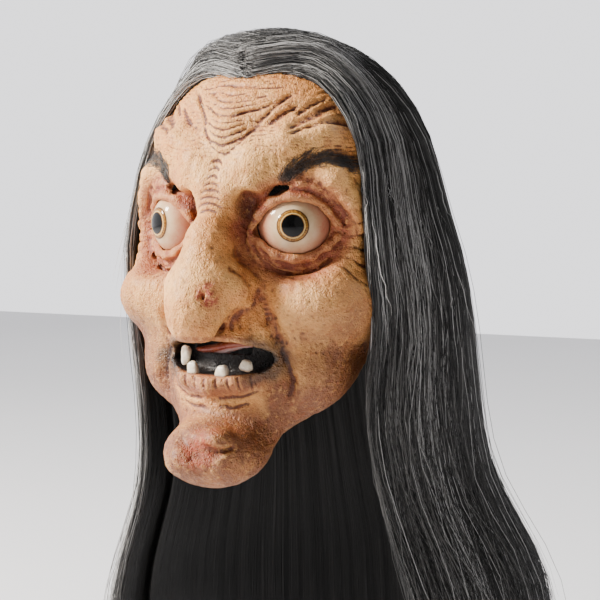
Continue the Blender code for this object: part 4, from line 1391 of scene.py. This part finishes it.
def shell(name, outer, inner, turns, along, paint, nodes):
    # a closed sheet between two grids of places
    rows, columns = outer.shape[:2]
    points = np.concatenate([outer.reshape(-1, 3), inner.reshape(-1, 3)])
    half = rows * columns
    faces = []
    for r in range(rows - 1):
        for c in range(columns - 1):
            a, b = r * columns + c, r * columns + c + 1
            d, e = a + columns, b + columns
            faces.append((a, b, e, d))
            faces.append((half + a, half + d, half + e, half + b))
    rim = [*range(columns)] + [r * columns + columns - 1 for r in range(1, rows)]
    rim += [(rows - 1) * columns + c for c in range(columns - 2, -1, -1)]
    rim += [r * columns for r in range(rows - 2, 0, -1)]
    for a, b in zip(rim, rim[1:] + rim[:1]):
        faces.append((b, a, half + a, half + b))
    faces = np.array(faces)
    normal = np.cross(points[faces[0][1]] - points[faces[0][0]], points[faces[0][3]] - points[faces[0][0]])
    if normal @ (points[faces[0][0]] - points[half + faces[0][0]]) < 0:
        faces = faces[:, ::-1]
    piece = meshPiece(name, points * mm, faces)
    paintAttribute(piece, "strandTurn", np.concatenate([turns.ravel(), turns.ravel()]))
    paintAttribute(piece, "strandAlong", np.concatenate([along.ravel(), along.ravel()]))
    piece.data.materials.append(paint)
    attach(piece, maskBody)
    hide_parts(*nodes)


def makeHairMass():
    rng = np.random.default_rng(3)
    paint = hairMassMaterial()
    columns, crown, hang = 170, 30, 34
    across = np.linspace(0, 1, columns)
    steps = crown + hang
    for side, name, nodes in ((1, "left", ["hair_crown_left", "hair_fall_left", "hair_fall_back"]),
                              (-1, "right", ["hair_crown_right", "hair_fall_right"])):
        turn = np.linspace(hair["frontTurn"] + 0.5, 180.0, columns) * side
        groove = np.interp(across, np.linspace(0, 1, 70), rng.uniform(-0.9, 0.6, 70))
        tips = hair["baseTips"][1] * np.interp(across, np.linspace(0, 1, 150), rng.random(150))
        tips = tips + hair["baseTips"][0]
        lift = np.repeat(groove[:, None], steps, 1) - 2.4
        outer = hairPath(turn, lift, tips, crown, hang)
        inner = hairPath(turn, lift - 1.7, tips, crown, hang)
        turns = np.repeat(turn[:, None] * 1.1, steps, 1)
        along = np.repeat(np.linspace(0, 1.3, steps)[None], columns, 0)
        shell("hair_base_" + name, outer, inner, turns, along, paint, nodes)
    # the under layer that hangs inside
    columns, steps = 120, 40
    across = np.linspace(0, 1, columns)
    for side, name, nodes in ((1, "left", ["hair_under_left", "hair_under_back"]),
                              (-1, "right", ["hair_under_right"])):
        turn = np.linspace(82, 179.6, columns) * side
        groove = np.interp(across, np.linspace(0, 1, 60), rng.uniform(-1.2, 1.2, 60))
        tips = hair["liningTips"][1] * np.interp(across, np.linspace(0, 1, 110), rng.random(110))
        tips = tips + hair["liningTips"][0]
        top = hair["liningTop"]
        heights = top + (tips[:, None] - top) * np.linspace(0, 1, steps)[None]
        grid = np.repeat(turn[:, None], steps, 1)
        outer = ringPlace(grid, heights, groove[:, None] - 9.0)
        inner = ringPlace(grid, heights, groove[:, None] - 11.0)
        along = np.repeat(np.linspace(0, 1.3, steps)[None], columns, 0)
        shell("hair_lining_" + name, outer, inner, grid * 1.1 + 400, along, paint, nodes)


makeHairMass()
print("hair made")

# floor, camera and light
ground = {"half": 3.0, "height": -0.452, "colour": (0.74, 0.74, 0.76)}
half, height = ground["half"], ground["height"]
corners = [(-half, -half, height), (half, -half, height), (half, half, height), (-half, half, height)]
floor = meshPiece("pale_floor", np.array(corners), np.array([(0, 1, 2, 3)]), smooth=False)
floorPaint = Paint("pale_floor_paint")
floorRough = floorPaint.span(floorPaint.noise(3), 0.3, 0.7, 0.6, 0.7)
floor.data.materials.append(floorPaint.finish(ground["colour"], floorRough))

view = {"turn": 30.0, "rise": 4.0, "far": 1.3, "aim": (0.0041, 0.0024, -0.1520), "lens": 125.0}


def addCamera():
    a, e = math.radians(view["turn"]), math.radians(view["rise"])
    away = Vector((math.sin(a) * math.cos(e), -math.cos(a) * math.cos(e), math.sin(e)))
    lens = bpy.data.cameras.new("portraitCamera")
    lens.lens = view["lens"]
    lens.sensor_width = 36
    camera = bpy.data.objects.new("portraitCamera", lens)
    camera.location = Vector(view["aim"]) + away * view["far"]
    camera.rotation_euler = (-away).to_track_quat("-Z", "Y").to_euler()
    bpy.context.scene.collection.objects.link(camera)
    bpy.context.scene.camera = camera


addCamera()

lights = {
    # place, size, power, tint; all aimed at the middle of the mask
    "keySoftbox": ((-1.45, -1.05, 0.95), 0.45, 165, (1, 0.94, 0.85)),
    "fillSoftbox": ((1.5, -1.4, 0.2), 1.4, 2, (1, 0.95, 0.9)),
    "rimSoftbox": ((1.3, 1.2, 1.2), 0.7, 20, (1, 1, 1)),
}
lightAim = Vector((0, 0, -0.15))
for name, (spot, size, power, tint) in lights.items():
    lamp = bpy.data.lights.new(name, "AREA")
    lamp.shape = "DISK"
    lamp.size = size
    lamp.energy = power
    lamp.color = tint
    holder = bpy.data.objects.new(name, lamp)
    holder.location = spot
    holder.rotation_euler = (lightAim - Vector(spot)).to_track_quat("-Z", "Y").to_euler()
    bpy.context.scene.collection.objects.link(holder)

# a pale room, brightest towards one side
room = {"colour": (0.90, 0.895, 0.93, 1), "brightSide": (-0.93, 0.36, 0.0), "strength": (0.12, 2.1)}
world = bpy.data.worlds.new("paleRoom")
bpy.context.scene.world = world
world.use_nodes = True
tree = world.node_tree
direction = tree.nodes.new("ShaderNodeTexCoord").outputs["Generated"]
lean = tree.nodes.new("ShaderNodeVectorMath")
lean.operation = "DOT_PRODUCT"
lean.inputs[1].default_value = room["brightSide"]
strength = tree.nodes.new("ShaderNodeMapRange")
strength.interpolation_type = "SMOOTHSTEP"
dim, bright = room["strength"]
for name, value in (("From Min", -0.5), ("From Max", 0.65), ("To Min", dim), ("To Max", bright)):
    strength.inputs[name].default_value = value
tree.links.new(direction, lean.inputs[0])
tree.links.new(lean.outputs["Value"], strength.inputs["Value"])
tree.nodes["Background"].inputs["Color"].default_value = room["colour"]
tree.links.new(strength.outputs["Result"], tree.nodes["Background"].inputs["Strength"])
print("floor, camera and lights placed")
